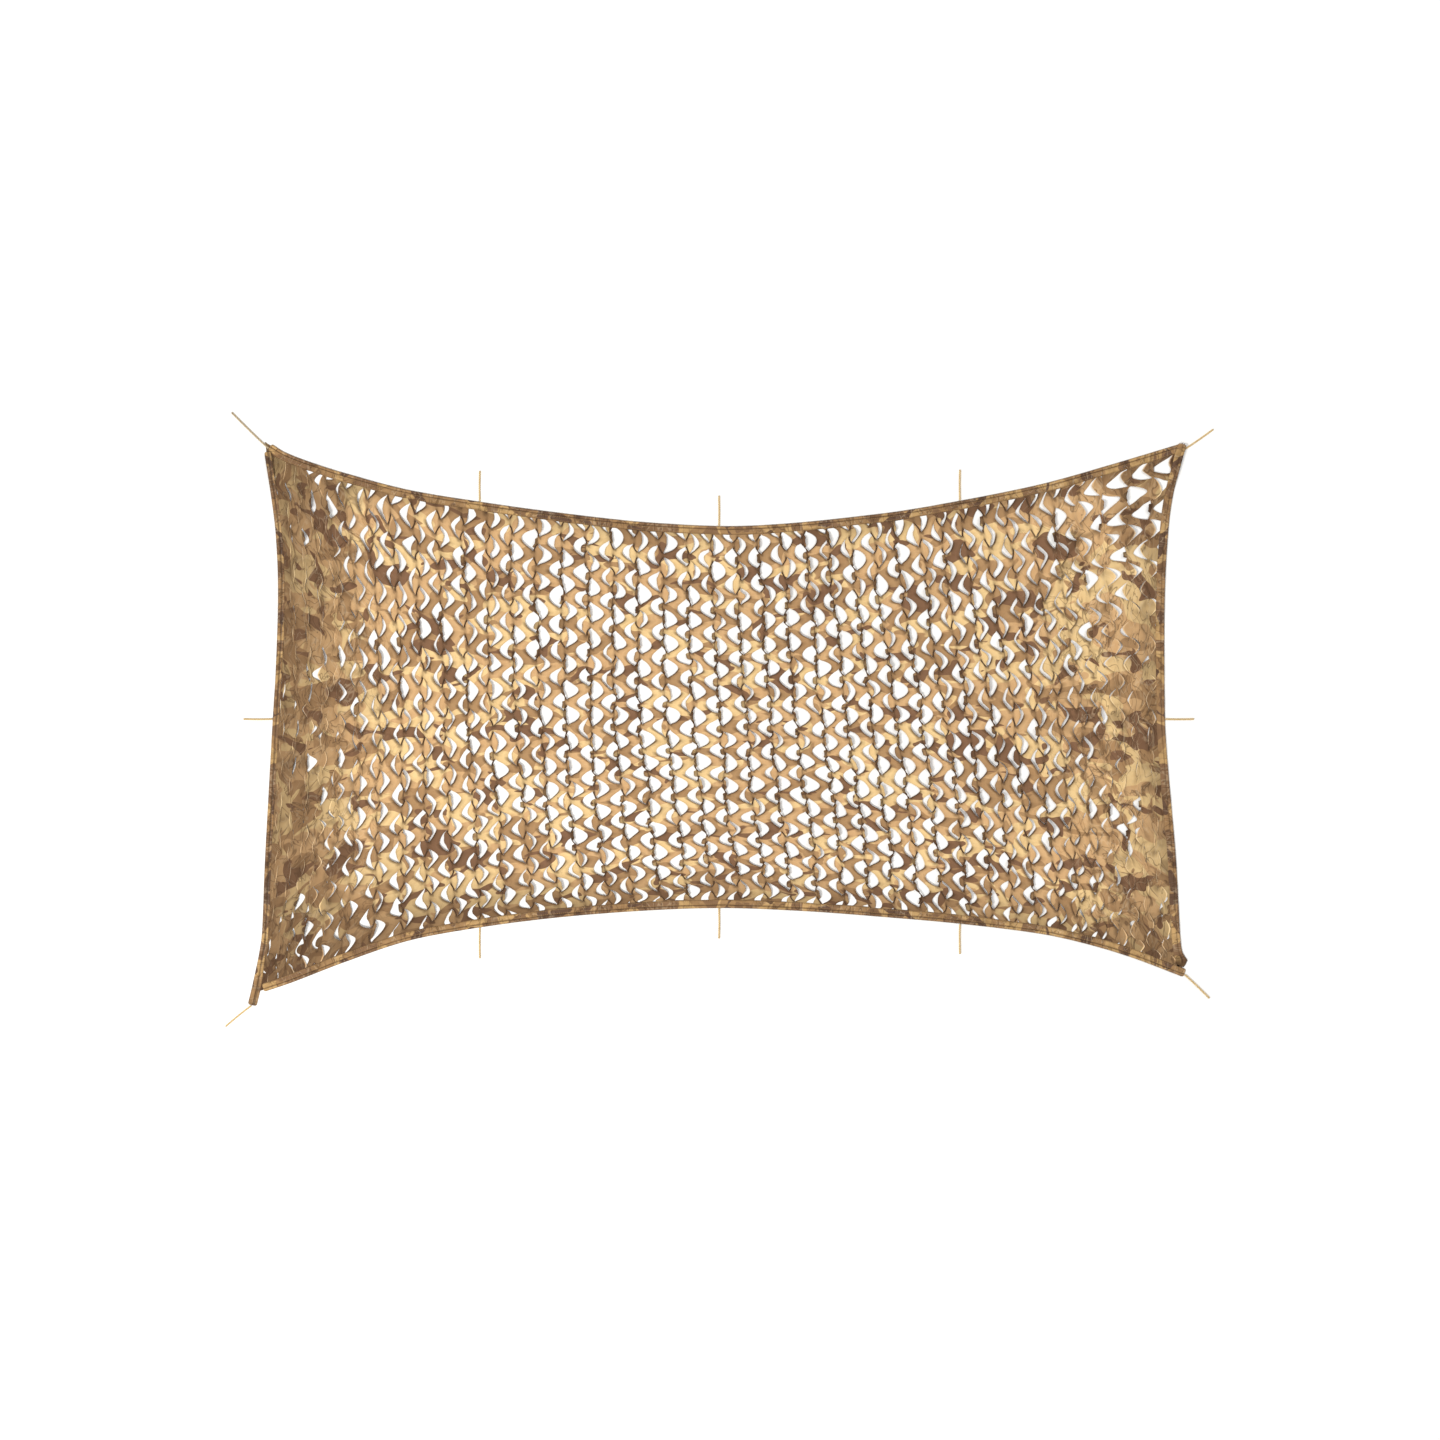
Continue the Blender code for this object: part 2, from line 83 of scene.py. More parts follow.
def joined(*parts: Array) -> Array:
    """Arrays brought to one shape and put together along a new last axis."""
    return np.stack(np.broadcast_arrays(*parts), axis=-1)


class SmoothLine:
    """A smooth curve through given values, straight beyond both ends."""

    def __init__(self, ats: Sequence[float], values: Sequence[float]) -> None:
        """Keeps the points of the curve.

        Args:
            ats: where the values are given, running upwards.
            values: the value at each of them.
        """
        self.ats, self.values = np.asarray(ats, float), np.asarray(values, float)
        last = len(self.ats) - 1
        number = np.arange(last + 1)
        before, after = np.maximum(number - 1, 0), np.minimum(number + 1, last)
        rise = self.values[after] - self.values[before]
        self.slopes = rise / (self.ats[after] - self.ats[before])

    def __call__(self, at: Array | float) -> Array:
        """The curve's value at each place.

        Args:
            at: the places.

        Returns:
            A value for each of them.
        """
        at = np.asarray(at, float)
        i = np.clip(np.searchsorted(self.ats, at, side="right") - 1, 0, len(self.ats) - 2)
        span = self.ats[i + 1] - self.ats[i]
        t = (at - self.ats[i]) / span
        rise = self.values[i + 1] - self.values[i]
        bend_in = self.slopes[i] * span - rise
        bend_out = rise - self.slopes[i + 1] * span
        within = self.values[i] + rise * t + t * (1 - t) * (bend_in * (1 - t) + bend_out * t)
        before, after = (self.values[end] + self.slopes[end] * (at - self.ats[end])
                         for end in (0, -1))
        return np.where(t < 0, before, np.where(t > 1, after, within))


@dataclass(frozen=True)
class Wander:
    """Smooth seeded noise between -1 and 1, one value to each place of a plane."""

    seed: int
    size: float
    cells: int = 96
    origin: tuple[float, float] = (31.7, 47.3)

    def __call__(self, x: Array, y: Array) -> Array:
        """The noise at each place.

        Args:
            x: the places' first coordinates.
            y: their second ones.

        Returns:
            A value from -1 to 1 for each place.
        """
        n = self.cells
        table = np.random.default_rng(self.seed).uniform(-1, 1, (n, n))
        u, v = (np.asarray(at) / self.size + start for at, start in zip((x, y), self.origin))
        i, j = np.floor(u).astype(int), np.floor(v).astype(int)
        s, t = smooth(u - i), smooth(v - j)
        low, high = (table[i % n, k % n] * (1 - s) + table[(i + 1) % n, k % n] * s
                     for k in (j, j + 1))
        return low * (1 - t) + high * t


def per_cell(seed: int, *numbers: Array) -> Array:
    """A seeded random value from 0 to 1 for each set of whole numbers.

    Args:
        seed: tells one use from another.
        numbers: arrays of whole numbers, above -4096.

    Returns:
        An array of their common shape.
    """
    mixed = np.full(np.shape(numbers[0]), seed * 7919 + 17, np.uint64)
    for number in numbers:
        mixed = mixed ^ (np.asarray(number).astype(np.int64) + 4096).astype(np.uint64)
        mixed = mixed * np.uint64(0x9E3779B97F4A7C15)  # an odd number that spreads the bits
        mixed = mixed ^ (mixed >> np.uint64(29))
    return (mixed >> np.uint64(11)).astype(float) / float(1 << 53)


class Patchwork:
    """Gathers grids of cloth and makes one mesh of them."""

    def __init__(self) -> None:
        """Starts with no points."""
        self.points: list[Array] = []
        self.flats: list[Array] = []
        self.shades: list[Array] = []
        self.kept: list[Array] = []
        self.faces: list[Array] = []
        self.count = 0

    def add_points(self, points: Array, flat: Array, shade: Array,
                   kept: Array | bool = True) -> Array:
        """Adds points and returns their numbers.

        Args:
            points: their places, as an array (..., 3).
            flat: where each lies on the flat cloth, as (..., 2).
            shade: darkening from 0 to 1, mostly painted shade; below 0 a painted highlight at a
                cut.
            kept: whether each is inside the hem; a quad with none inside is left out.

        Returns:
            The numbers, as an array of the leading shape.
        """
        shape = points.shape[:-1]
        numbers = np.arange(self.count, self.count + int(np.prod(shape))).reshape(shape)
        self.points.append(points.reshape(-1, 3))
        self.flats.append(np.broadcast_to(flat, (*shape, 2)).reshape(-1, 2))
        for store, values in ((self.shades, shade), (self.kept, kept)):
            store.append(np.broadcast_to(values, shape).reshape(-1))
        self.count += numbers.size
        return numbers

    def add_quads(self, numbers: Array) -> None:
        """Joins a grid of points by quads, face up where the grid turns anticlockwise.

        Args:
            numbers: the points' numbers; the last two axes are the grid's.
        """
        corners = (numbers[..., :-1, :-1], numbers[..., 1:, :-1],
                   numbers[..., 1:, 1:], numbers[..., :-1, 1:])
        self.faces.append(np.stack(corners, axis=-1).reshape(-1, 4))

    def add_tube(self, numbers: Array, half: int) -> None:
        """Joins rings of points by quads and closes both ends.

        Args:
            numbers: the points' numbers, ring by ring.
            half: how many points of a ring an end takes from each of its two halves.
        """
        self.add_quads(numbers)
        for ring, way in ((numbers[0], -1), (numbers[-1], 1)):
            self.add_quads(np.stack((ring[:half], ring[::-1][:half]))[::way])

    def make(self, name: str) -> Piece:
        """Makes the object.

        Args:
            name: the piece's name.

        Returns:
            The object, linked to the scene, with its flat layout as the UV map "cut".
        """
        points, flats, shades, kept, quads = map(
            np.concatenate, (self.points, self.flats, self.shades, self.kept, self.faces))
        quads = quads[kept[quads].any(axis=1)]
        used, packed = np.unique(quads, return_inverse=True)
        quads = packed.reshape(quads.shape)
        mesh = bpy.data.meshes.new(name)
        mesh.from_pydata(points[used].tolist(), [], quads.tolist())
        flat = flats[used][quads.reshape(-1)].astype(np.float32)
        mesh.uv_layers.new(name="cut").data.foreach_set("uv", flat.reshape(-1))
        shade = mesh.attributes.new("shade", "FLOAT", "POINT")
        shade.data.foreach_set("value", shades[used].astype(np.float32))
        mesh.polygons.foreach_set("use_smooth", np.ones(len(quads), bool))
        mesh.update()
        piece = bpy.data.objects.new(name, mesh)
        bpy.context.scene.collection.objects.link(piece)
        return piece


# ---------------------------------------------------------------- finishes
class Slot(Enum):
    """The kinds of material slot."""

    CLOTH = "cloth"
    TAPE = "tape"
    TIE = "tie"


def dress_piece(piece: Piece, finish: bpy.types.Material, slot: Slot, *nodes: str) -> None:
    """Gives a piece its finish and its body, and hides the CAD nodes that it stands for.

    Args:
        piece: the piece.
        finish: its material.
        slot: its kind of material slot; not used.
        nodes: the names of the CAD nodes.
    """
    piece.data.materials.append(finish)
    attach(piece, BODY)
    if nodes:
        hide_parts(*nodes)


class NodeBoard:
    """Short calls for a material's nodes."""

    def __init__(self, name: str) -> None:
        """Makes a material with a Principled shader.

        Args:
            name: the material's name.
        """
        self.material = bpy.data.materials.new(name)
        self.material.use_nodes = True
        self.tree = self.material.node_tree

    def add(self, kind: str, inputs: dict | None = None, **settings: object) -> bpy.types.Node:
        """Adds a node.

        Args:
            kind: the node's type name.
            inputs: a value or an output socket for each input, by name or number.
            settings: the node's own properties.

        Returns:
            The node.
        """
        node = self.tree.nodes.new(kind)
        for key, value in settings.items():
            setattr(node, key, value)
        self.fill(node, inputs or {})
        return node

    def fill(self, node: bpy.types.Node, inputs: dict) -> None:
        """Links an output to each of a node's inputs, or sets the input's own value.

        Args:
            node: the node.
            inputs: a value or an output socket for each input, by name or number.
        """
        for key, value in inputs.items():
            if isinstance(value, Socket):
                self.tree.links.new(value, node.inputs[key])
            else:
                node.inputs[key].default_value = value

    def finish(self, inputs: dict[str, object]) -> bpy.types.Material:
        """The material, with the shader's sockets filled."""
        self.fill(self.tree.nodes["Principled BSDF"], inputs)
        return self.material

    def noise(self, at: Socket, size: float, shift: float = 0.0, detail: float = 2.0,
              distortion: float = 0.0) -> Socket:
        """Noise with features of a given size.

        Args:
            at: the coordinates, in metres.
            size: the size of a feature.
            shift: moves the pattern, so that two of one size differ.
            detail: how many finer layers it has.
            distortion: how far its outlines are drawn out.

        Returns:
            The value, from 0 to 1.
        """
        moved = self.add("ShaderNodeVectorMath", {0: at, 1: (shift, shift * 0.7, shift * 1.3)},
                         operation="ADD")
        return self.add("ShaderNodeTexNoise", {
            "Vector": moved.outputs[0], "Scale": 1 / size, "Detail": detail,
            "Distortion": distortion}).outputs["Fac"]

    def shade(self) -> Socket:
        """Each point's darkening, mostly painted shade, or below 0 its painted highlight."""
        return self.add("ShaderNodeAttribute", attribute_name="shade").outputs["Fac"]

    def step(self, value: Socket, low: float, high: float) -> Socket:
        """0 below low, 1 above high and smooth between them."""
        return self.add("ShaderNodeMapRange", {"Value": value, "From Min": low, "From Max": high},
                        interpolation_type="SMOOTHSTEP").outputs[0]

    def line(self, value: Socket, middle: float, inner: float, outer: float) -> Socket:
        """1 where a value is within inner of the middle one, and 0 beyond outer."""
        away = self.math("ABSOLUTE", self.math("SUBTRACT", value, middle))
        return self.math("SUBTRACT", 1.0, self.step(away, inner, outer))

    def mix(self, share: object, a: object, b: object, blend: str = "MIX") -> Socket:
        """A blend of two colours.

        Args:
            share: how much of the second one.
            a: the first colour or socket.
            b: the second one.
            blend: the way they are blended.

        Returns:
            The colour.
        """
        return self.add("ShaderNodeMix", {"Factor": share, "A": a, "B": b}, data_type="RGBA",
                        blend_type=blend, clamp_factor=True).outputs["Result"]

    def math(self, operation: str, a: object, b: object = 0.0, c: object = 0.0) -> Socket:
        """The result of a sum of up to three values."""
        return self.add("ShaderNodeMath", {0: a, 1: b, 2: c}, operation=operation).outputs[0]

    def bump(self, height: Socket, depth: float, strength: float,
             below: Socket | None = None) -> Socket:
        """A bumped normal.

        Args:
            height: the height, from 0 to 1.
            depth: how deep that is, in metres.
            strength: its share.
            below: the normal that it goes on top of.

        Returns:
            The normal.
        """
        under = {} if below is None else {"Normal": below}
        return self.add("ShaderNodeBump", {"Height": height, "Distance": depth,
                                           "Strength": strength, **under}).outputs["Normal"]


@dataclass(frozen=True)
class CamouflagePrint:
    """Plain-woven cloth with a desert print of rounded patches in four colours."""

    name: str
    ground: str = "d2aa79"
    sand: str = "e9c88f"
    brown: str = "ad885e"
    dark: str = "805e43"
    # paints shade where a point or a crease asks for it, with some darker tone of its own
    shade_and_tone: str = "452d15"
    # paints a highlight on crease ridges and along the cuts of closed slits
    painted_highlight: str = "ecd3ae"
    patch: float = 0.105  # the size of the patches
    patch_edge: float = 0.012  # how soft their outlines are
    wash: float = 0.20  # how blotchy the dye is
    slack_from: tuple[float, float] = (0.62, 0.80)  # along the flat cloth, where it is creased
    # painted shade of hollows and valleys, highlight of ridges: what slack adds, what is everywhere
    valley: tuple[float, float] = (0.52, 0.08)
    ridge: tuple[float, float] = (0.24, 0.0)
    hollow: tuple[float, float] = (0.42, 0.04)
    crease_depth: float = 0.0022
    thread: float = 0.0011  # the pitch of the weave
    thread_depth: float = 0.0002
    wave_pitch: float = 0.314  # of the tools' wave texture at a scale of 1
    stitch_rows: tuple[float, ...] = ()
    stitch_pitch: float = 0.0064
    stitch_share: float = 0.68  # of the pitch, that shows as thread
    stitch_width: float = 0.0009
    stitch_colour: str = "c9ab7a"
    roughness: float = 0.78
    sheen: float = 0.15
    specular: float = 0.25

    def crease_lines(self, board: NodeBoard, flat: Socket, shift: float, turn: float) -> Socket:
        """Thin wandering lines.

        Args:
            board: the material's nodes.
            flat: the place on the flat cloth.
            shift: moves the lines, so that two sets differ.
            turn: the way they run, in radians.

        Returns:
            1 on each line and 0 beside it.
        """
        along = board.add("ShaderNodeMapping", {
            "Vector": flat, "Rotation": (0.0, 0.0, turn), "Scale": (1.5, 0.6, 1.0)}).outputs[0]
        return board.line(board.noise(along, 0.065, shift, 2.0, 1.3), 0.5, 0.0, 0.026)

    def stitches(self, board: NodeBoard, flat: Socket) -> Socket:
        """Rows of stitches along the tape.

        Args:
            board: the material's nodes.
            flat: the place on the flat tape.

        Returns:
            1 on the thread and 0 elsewhere.
        """
        x, y = board.add("ShaderNodeSeparateXYZ", {0: flat}).outputs[:2]
        along = board.math("FRACT", board.math("DIVIDE", x, self.stitch_pitch))
        dash = board.math("LESS_THAN", along, self.stitch_share)
        total: object = 0.0
        for row in self.stitch_rows:
            line = board.line(y, row, 0.4 * self.stitch_width, self.stitch_width)
            total = board.math("ADD", total, board.math("MULTIPLY", line, dash))
        return total

    def printed(self, board: NodeBoard, flat: Socket) -> Socket:
        """The print: patches of three colours laid on the ground in turn.

        Args:
            board: the material's nodes.
            flat: the place on the flat cloth.

        Returns:
            The colour.
        """
        colour: object = srgb(self.ground)
        # colour, size as a share of the patches', shift, detail, twist and threshold
        for code, size, shift, detail, twist, begin in (
                (self.sand, 1.0, 3.1, 1.4, 0.6, 0.508), (self.brown, 0.9, 11.7, 1.5, 0.7, 0.538),
                (self.dark, 0.8, 23.9, 1.5, 0.7, 0.592)):
            field = board.noise(flat, self.patch * size, shift, detail, twist)
            patches = board.step(field, begin, begin + self.patch_edge)
            colour = board.mix(patches, colour, srgb(code))
        wash = board.step(board.noise(flat, 0.028, 5.0, 3.0), 0.25, 0.8)
        wash = board.math("MULTIPLY", wash, self.wash)
        return board.mix(wash, colour, srgb(self.ground), "MULTIPLY")

    def make(self) -> bpy.types.Material:
        """Builds the material on the flat layout and the shade of each point.

        Returns:
            The material.
        """
        board = NodeBoard(self.name)
        flat = board.add("ShaderNodeUVMap", uv_map="cut").outputs["UV"]
        along = board.add("ShaderNodeSeparateXYZ", {0: flat}).outputs["X"]
        slack = board.step(board.math("ABSOLUTE", along), *self.slack_from)
        hollow = board.step(board.noise(flat, 0.060, 53.0, 2.0, 0.5), 0.48, 0.72)
        # painted shade in hollows and crease valleys, and a painted highlight on crease ridges
        hollow, valley, ridge = (
            board.math("MULTIPLY", field, board.math("MULTIPLY_ADD", slack, *strength))
            for field, strength in ((hollow, self.hollow),
                                    (self.crease_lines(board, flat, 31.0, 0.55), self.valley),
                                    (self.crease_lines(board, flat, 47.0, 0.35), self.ridge)))
        shade = board.shade()
        # below 0 the points' shade asks for a painted highlight
        pale = board.math("MULTIPLY", shade, -1.0)
        height = board.math("ADD", board.noise(flat, 0.028, 9.0, 2.0, 0.8), ridge)
        height = board.math("SUBTRACT", height, valley)
        layers = [(hollow, self.shade_and_tone), (valley, self.shade_and_tone), (ridge, self.painted_highlight),
                  (shade, self.shade_and_tone), (pale, self.painted_highlight)]
        if self.stitch_rows:
            stitching = self.stitches(board, flat)
            layers.append((stitching, self.stitch_colour))
            height = board.math("ADD", height, board.math("MULTIPLY", stitching, 0.4))
        colour = self.printed(board, flat)
        for share, code in layers:
            colour = board.mix(share, colour, srgb(code))
        warp, weft = (board.add("ShaderNodeTexWave", {
            "Vector": flat, "Scale": self.wave_pitch / self.thread},
            bands_direction=way).outputs["Fac"] for way in "XY")
        weave = board.bump(board.math("ADD", warp, weft), self.thread_depth, 0.35)
        return board.finish({
            "Base Color": colour, "Roughness": self.roughness, "Sheen Weight": self.sheen,
            "Specular IOR Level": self.specular,
            "Normal": board.bump(height, self.crease_depth, 0.6, weave)})


@dataclass(frozen=True)
class CordFinish:
    """Straw-coloured twisted cord."""

    name: str
    straw: str
    # hollow colours the flecks and paints shade down between the strands
    hollow: str
    roughness: float = 0.82
    sheen: float = 0.2
    fibre: float = 0.0008
    fibre_depth: float = 0.0002

    def make(self) -> bpy.types.Material:
        """Builds the material, with painted shade down between the strands.

        Returns:
            The material.
        """
        board = NodeBoard(self.name)
        place = board.add("ShaderNodeTexCoord").outputs["Object"]
        fleck = board.step(board.noise(place, 0.004, 2.0, 3.0), 0.3, 0.75)
        colour = board.mix(fleck, srgb(self.straw), srgb(self.hollow))
        colour = board.mix(board.shade(), colour, srgb(self.hollow))
        fibres = board.noise(place, self.fibre, 1.0, 2.0, 0.5)
        return board.finish({
            "Base Color": colour, "Roughness": self.roughness, "Sheen Weight": self.sheen,
            "Normal": board.bump(fibres, self.fibre_depth, 0.6)})


@dataclass(frozen=True)
class PaleFloor:
    """Matt white floor."""

    name: str = "pale_floor"
    white: str = "f7f6f4"
    roughness: float = 0.95

    def make(self) -> bpy.types.Material:
        """Builds the material."""
        return NodeBoard(self.name).finish({
            "Base Color": srgb(self.white), "Roughness": self.roughness,
            "Specular IOR Level": 0.0})


# ---------------------------------------------------------------- the plan of the net
class Edge(Enum):
    """The four sides of the net, by their names in its plan."""

    TOP = "top"
    BOTTOM = "bottom"
    LEFT = "left"
    RIGHT = "right"


class Side:
    """One outer edge of the bound net."""

    slope_step = 0.001

    def __init__(self, points: Sequence[tuple[float, float]], along_x: bool, inwards: int,
                 tape_from: float | None = None) -> None:
        """Keeps the edge.

        Args:
            points: pairs of the place along the edge and how far out it is there.
            along_x: whether the edge runs along X.
            inwards: +1 where the net lies on the side of larger outs, or else -1.
            tape_from: where the tape starts, if not at the first point.
        """
        self.line = SmoothLine(*zip(*points))
        self.along_x, self.inwards = along_x, inwards
        self.first = points[0][0] if tape_from is None else tape_from
        self.last = points[-1][0]

    def slope(self, at: Array | float) -> Array:
        """The edge's slope at each place along it."""
        step = self.slope_step
        return (self.line(at + step) - self.line(at - step)) / (2 * step)

    def inset(self, x: Array, y: Array) -> Array:
        """How far inside the edge each point lies."""
        at, out = (x, y) if self.along_x else (y, x)
        return self.inwards * (out - self.line(at)) / np.hypot(1.0, self.slope(at))

    def place(self, at: Array, distance: Array | float) -> Array:
        """Points at a distance inside the edge, square to it.

        Args:
            at: the places along the edge.
            distance: how far inside it they lie.

        Returns:
            An array (..., 2) of x and y.
        """
        slope = self.slope(at)
        size = np.hypot(1.0, slope)
        along = at - slope * self.inwards * distance / size
        out = self.line(at) + self.inwards * distance / size
        return joined(along, out) if self.along_x else joined(out, along)

    def keep_in(self, x: Array, y: Array, inset: float) -> tuple[Array, Array]:
        """Moves the points that lie outside an inset line onto it.

        Args:
            x, y: the points.
            inset: how far inside the edge the line runs.

        Returns:
            The new x and y.
        """
        missing = np.maximum(inset - self.inset(x, y), 0.0)
        move = self.inwards * missing * np.hypot(1.0, self.slope(x if self.along_x else y))
        return (x, y + move) if self.along_x else (x + move, y)


@dataclass(frozen=True)
class Fold:
    """A soft fold that stands up from the surface, between two places."""

    start: tuple[float, float]
    end: tuple[float, float]
    height: float
    half_width: float

    def rise(self, x: Array, y: Array) -> Array:
        """How high the fold lifts the cloth.

        Args:
            x, y: the places.

        Returns:
            A height for each place.
        """
        run = np.subtract(self.end, self.start)
        aside = np.stack((x - self.start[0], y - self.start[1]), axis=-1)
        share = aside @ run / (run @ run)
        away = np.abs(aside @ np.array((-run[1], run[0]))) / math.hypot(*run)
        crown = np.cos(np.pi / 2 * np.clip(away / self.half_width, 0, 1)) ** 2
        return self.height * crown * np.sin(np.pi * np.clip(share, 0, 1)) ** 0.5


@dataclass(frozen=True)
class NetPlan:
    """The outline of the net and the lattice of its holes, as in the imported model."""

    top: Side = Side([
        (-1.452, 0.908), (-1.411, 0.882), (-1.338, 0.853), (-1.231, 0.818), (-1.019, 0.761),
        (-0.776, 0.720), (-0.516, 0.684), (-0.217, 0.652), (0.098, 0.642), (0.524, 0.681),
        (0.781, 0.723), (1.050, 0.778), (1.272, 0.840), (1.508, 0.911)], True, -1)
    bottom: Side = Side([
        (-1.4765, -0.872), (-1.387, -0.842), (-1.224, -0.779), (-1.029, -0.712), (-0.864, -0.677),
        (-0.581, -0.637), (-0.282, -0.611), (0.001, -0.600), (0.261, -0.609), (0.524, -0.628),
        (0.784, -0.651), (1.047, -0.684), (1.197, -0.717), (1.346, -0.762), (1.509, -0.824)],
        True, 1)
    left: Side = Side([
        (-0.912, -1.530), (-0.845, -1.514), (-0.740, -1.492), (-0.678, -1.484), (-0.457, -1.475),
        (-0.216, -1.462), (0.014, -1.449), (0.183, -1.439), (0.430, -1.432), (0.609, -1.439),
        (0.742, -1.455), (0.880, -1.476)], False, 1)
    right: Side = Side([
        (-0.835, 1.506), (-0.775, 1.512), (-0.717, 1.502), (-0.606, 1.495), (-0.441, 1.486),
        (-0.278, 1.472), (-0.106, 1.457), (0.014, 1.450), (0.378, 1.449), (0.573, 1.457),
        (0.723, 1.473), (0.850, 1.504), (0.903, 1.520)], False, -1, -0.775)
    columns: tuple[float, ...] = (-20.5, -16, -12, -8, -4, 0, 4, 8, 12, 16, 20)
    # the x of those chains at three depths, from 0 at the top edge to 1 at the bottom
    depths: tuple[float, float, float] = (0.1, 0.5, 0.9)
    chain_rows: tuple[tuple[float, ...], ...] = (
        (-1.450, -1.265, -0.984, -0.670, -0.345, -0.023, 0.285, 0.581, 0.870, 1.171, 1.478),
        (-1.443, -1.231, -0.959, -0.657, -0.332, 0.006, 0.341, 0.661, 0.961, 1.241, 1.450),
        (-1.482, -1.285, -0.945, -0.613, -0.282, 0.059, 0.401, 0.727, 1.026, 1.293, 1.498))
    row_ends: tuple[float, float] = (-7.75, 8.90)  # the row numbers at the two long edges
    end_changes: tuple[float, float] = (0.8, -1.5)  # how those change towards the short sides
    row_spread: float = 0.0064  # and how fast, per column squared
    depth_bow: float = 0.13  # the rows lie closer together towards the bottom edge
    folds: tuple[Fold, ...] = (
        Fold((-1.352, 0.600), (-1.352, 0.060), 0.013, 0.034),
        Fold((-1.362, -0.030), (-1.385, -0.500), 0.011, 0.034),
        Fold((-1.268, 0.420), (-1.283, -0.120), 0.008, 0.032),
        Fold((-1.345, 0.755), (-1.215, 0.600), 0.012, 0.030),
        Fold((-1.225, 0.742), (-1.050, 0.668), 0.008, 0.028),
        Fold((-1.385, -0.700), (-1.260, -0.575), 0.012, 0.034),
        Fold((-1.290, -0.715), (-1.080, -0.640), 0.009, 0.028),
        Fold((1.372, 0.500), (1.368, 0.060), 0.012, 0.034),
        Fold((1.372, -0.050), (1.400, -0.500), 0.010, 0.034),
        Fold((1.285, 0.300), (1.300, -0.250), 0.008, 0.032),
        Fold((1.395, -0.660), (1.240, -0.520), 0.013, 0.034),
        Fold((1.300, -0.665), (1.100, -0.610), 0.009, 0.028),
        Fold((1.400, 0.780), (1.250, 0.690), 0.008, 0.030))

    def sides(self) -> tuple[Side, ...]:
        """The four outer edges."""
        return self.top, self.bottom, self.left, self.right

    def inset(self, x: Array, y: Array) -> Array:
        """How far each point is from the nearest outer edge."""
        return np.min([side.inset(x, y) for side in self.sides()], axis=0)

    def spot(self, column: Array, row: Array) -> tuple[Array, Array]:
        """Where points of the lattice lie.

        Args:
            column: their chain numbers.
            row: their row numbers, which run down the net.

        Returns:
            Their x and y.
        """
        column, row = np.broadcast_arrays(np.asarray(column, float), np.asarray(row, float))
        spread = self.row_spread * np.square(column)
        spread = spread / (1 + spread / 2)
        top, bottom = (end + change * spread
                       for end, change in zip(self.row_ends, self.end_changes))
        depth = (row - top) / (bottom - top)
        a, b, c = (SmoothLine(self.columns, values)(column) for values in self.chain_rows)
        t = (depth - self.depths[0]) / (self.depths[2] - self.depths[0])
        x = a * (1 - t) * (1 - 2 * t) + 4 * b * t * (1 - t) + c * t * (2 * t - 1)
        down = depth + self.depth_bow * depth * (1 - depth)
        return x, self.top.line(x) * (1 - down) + self.bottom.line(x) * down

    def fold_height(self, x: Array, y: Array) -> Array:
        """How high the folds lift the cloth at each place."""
        return np.max([fold.rise(x, y) for fold in self.folds], axis=0)


# ---------------------------------------------------------------- the cloth
def bridge_phase(row: Array) -> Array:
    """1 at the middle of a chain's bridges and 0 midway between two of them."""
    return np.abs((row * 2) % 1.0 - 0.5) * 2


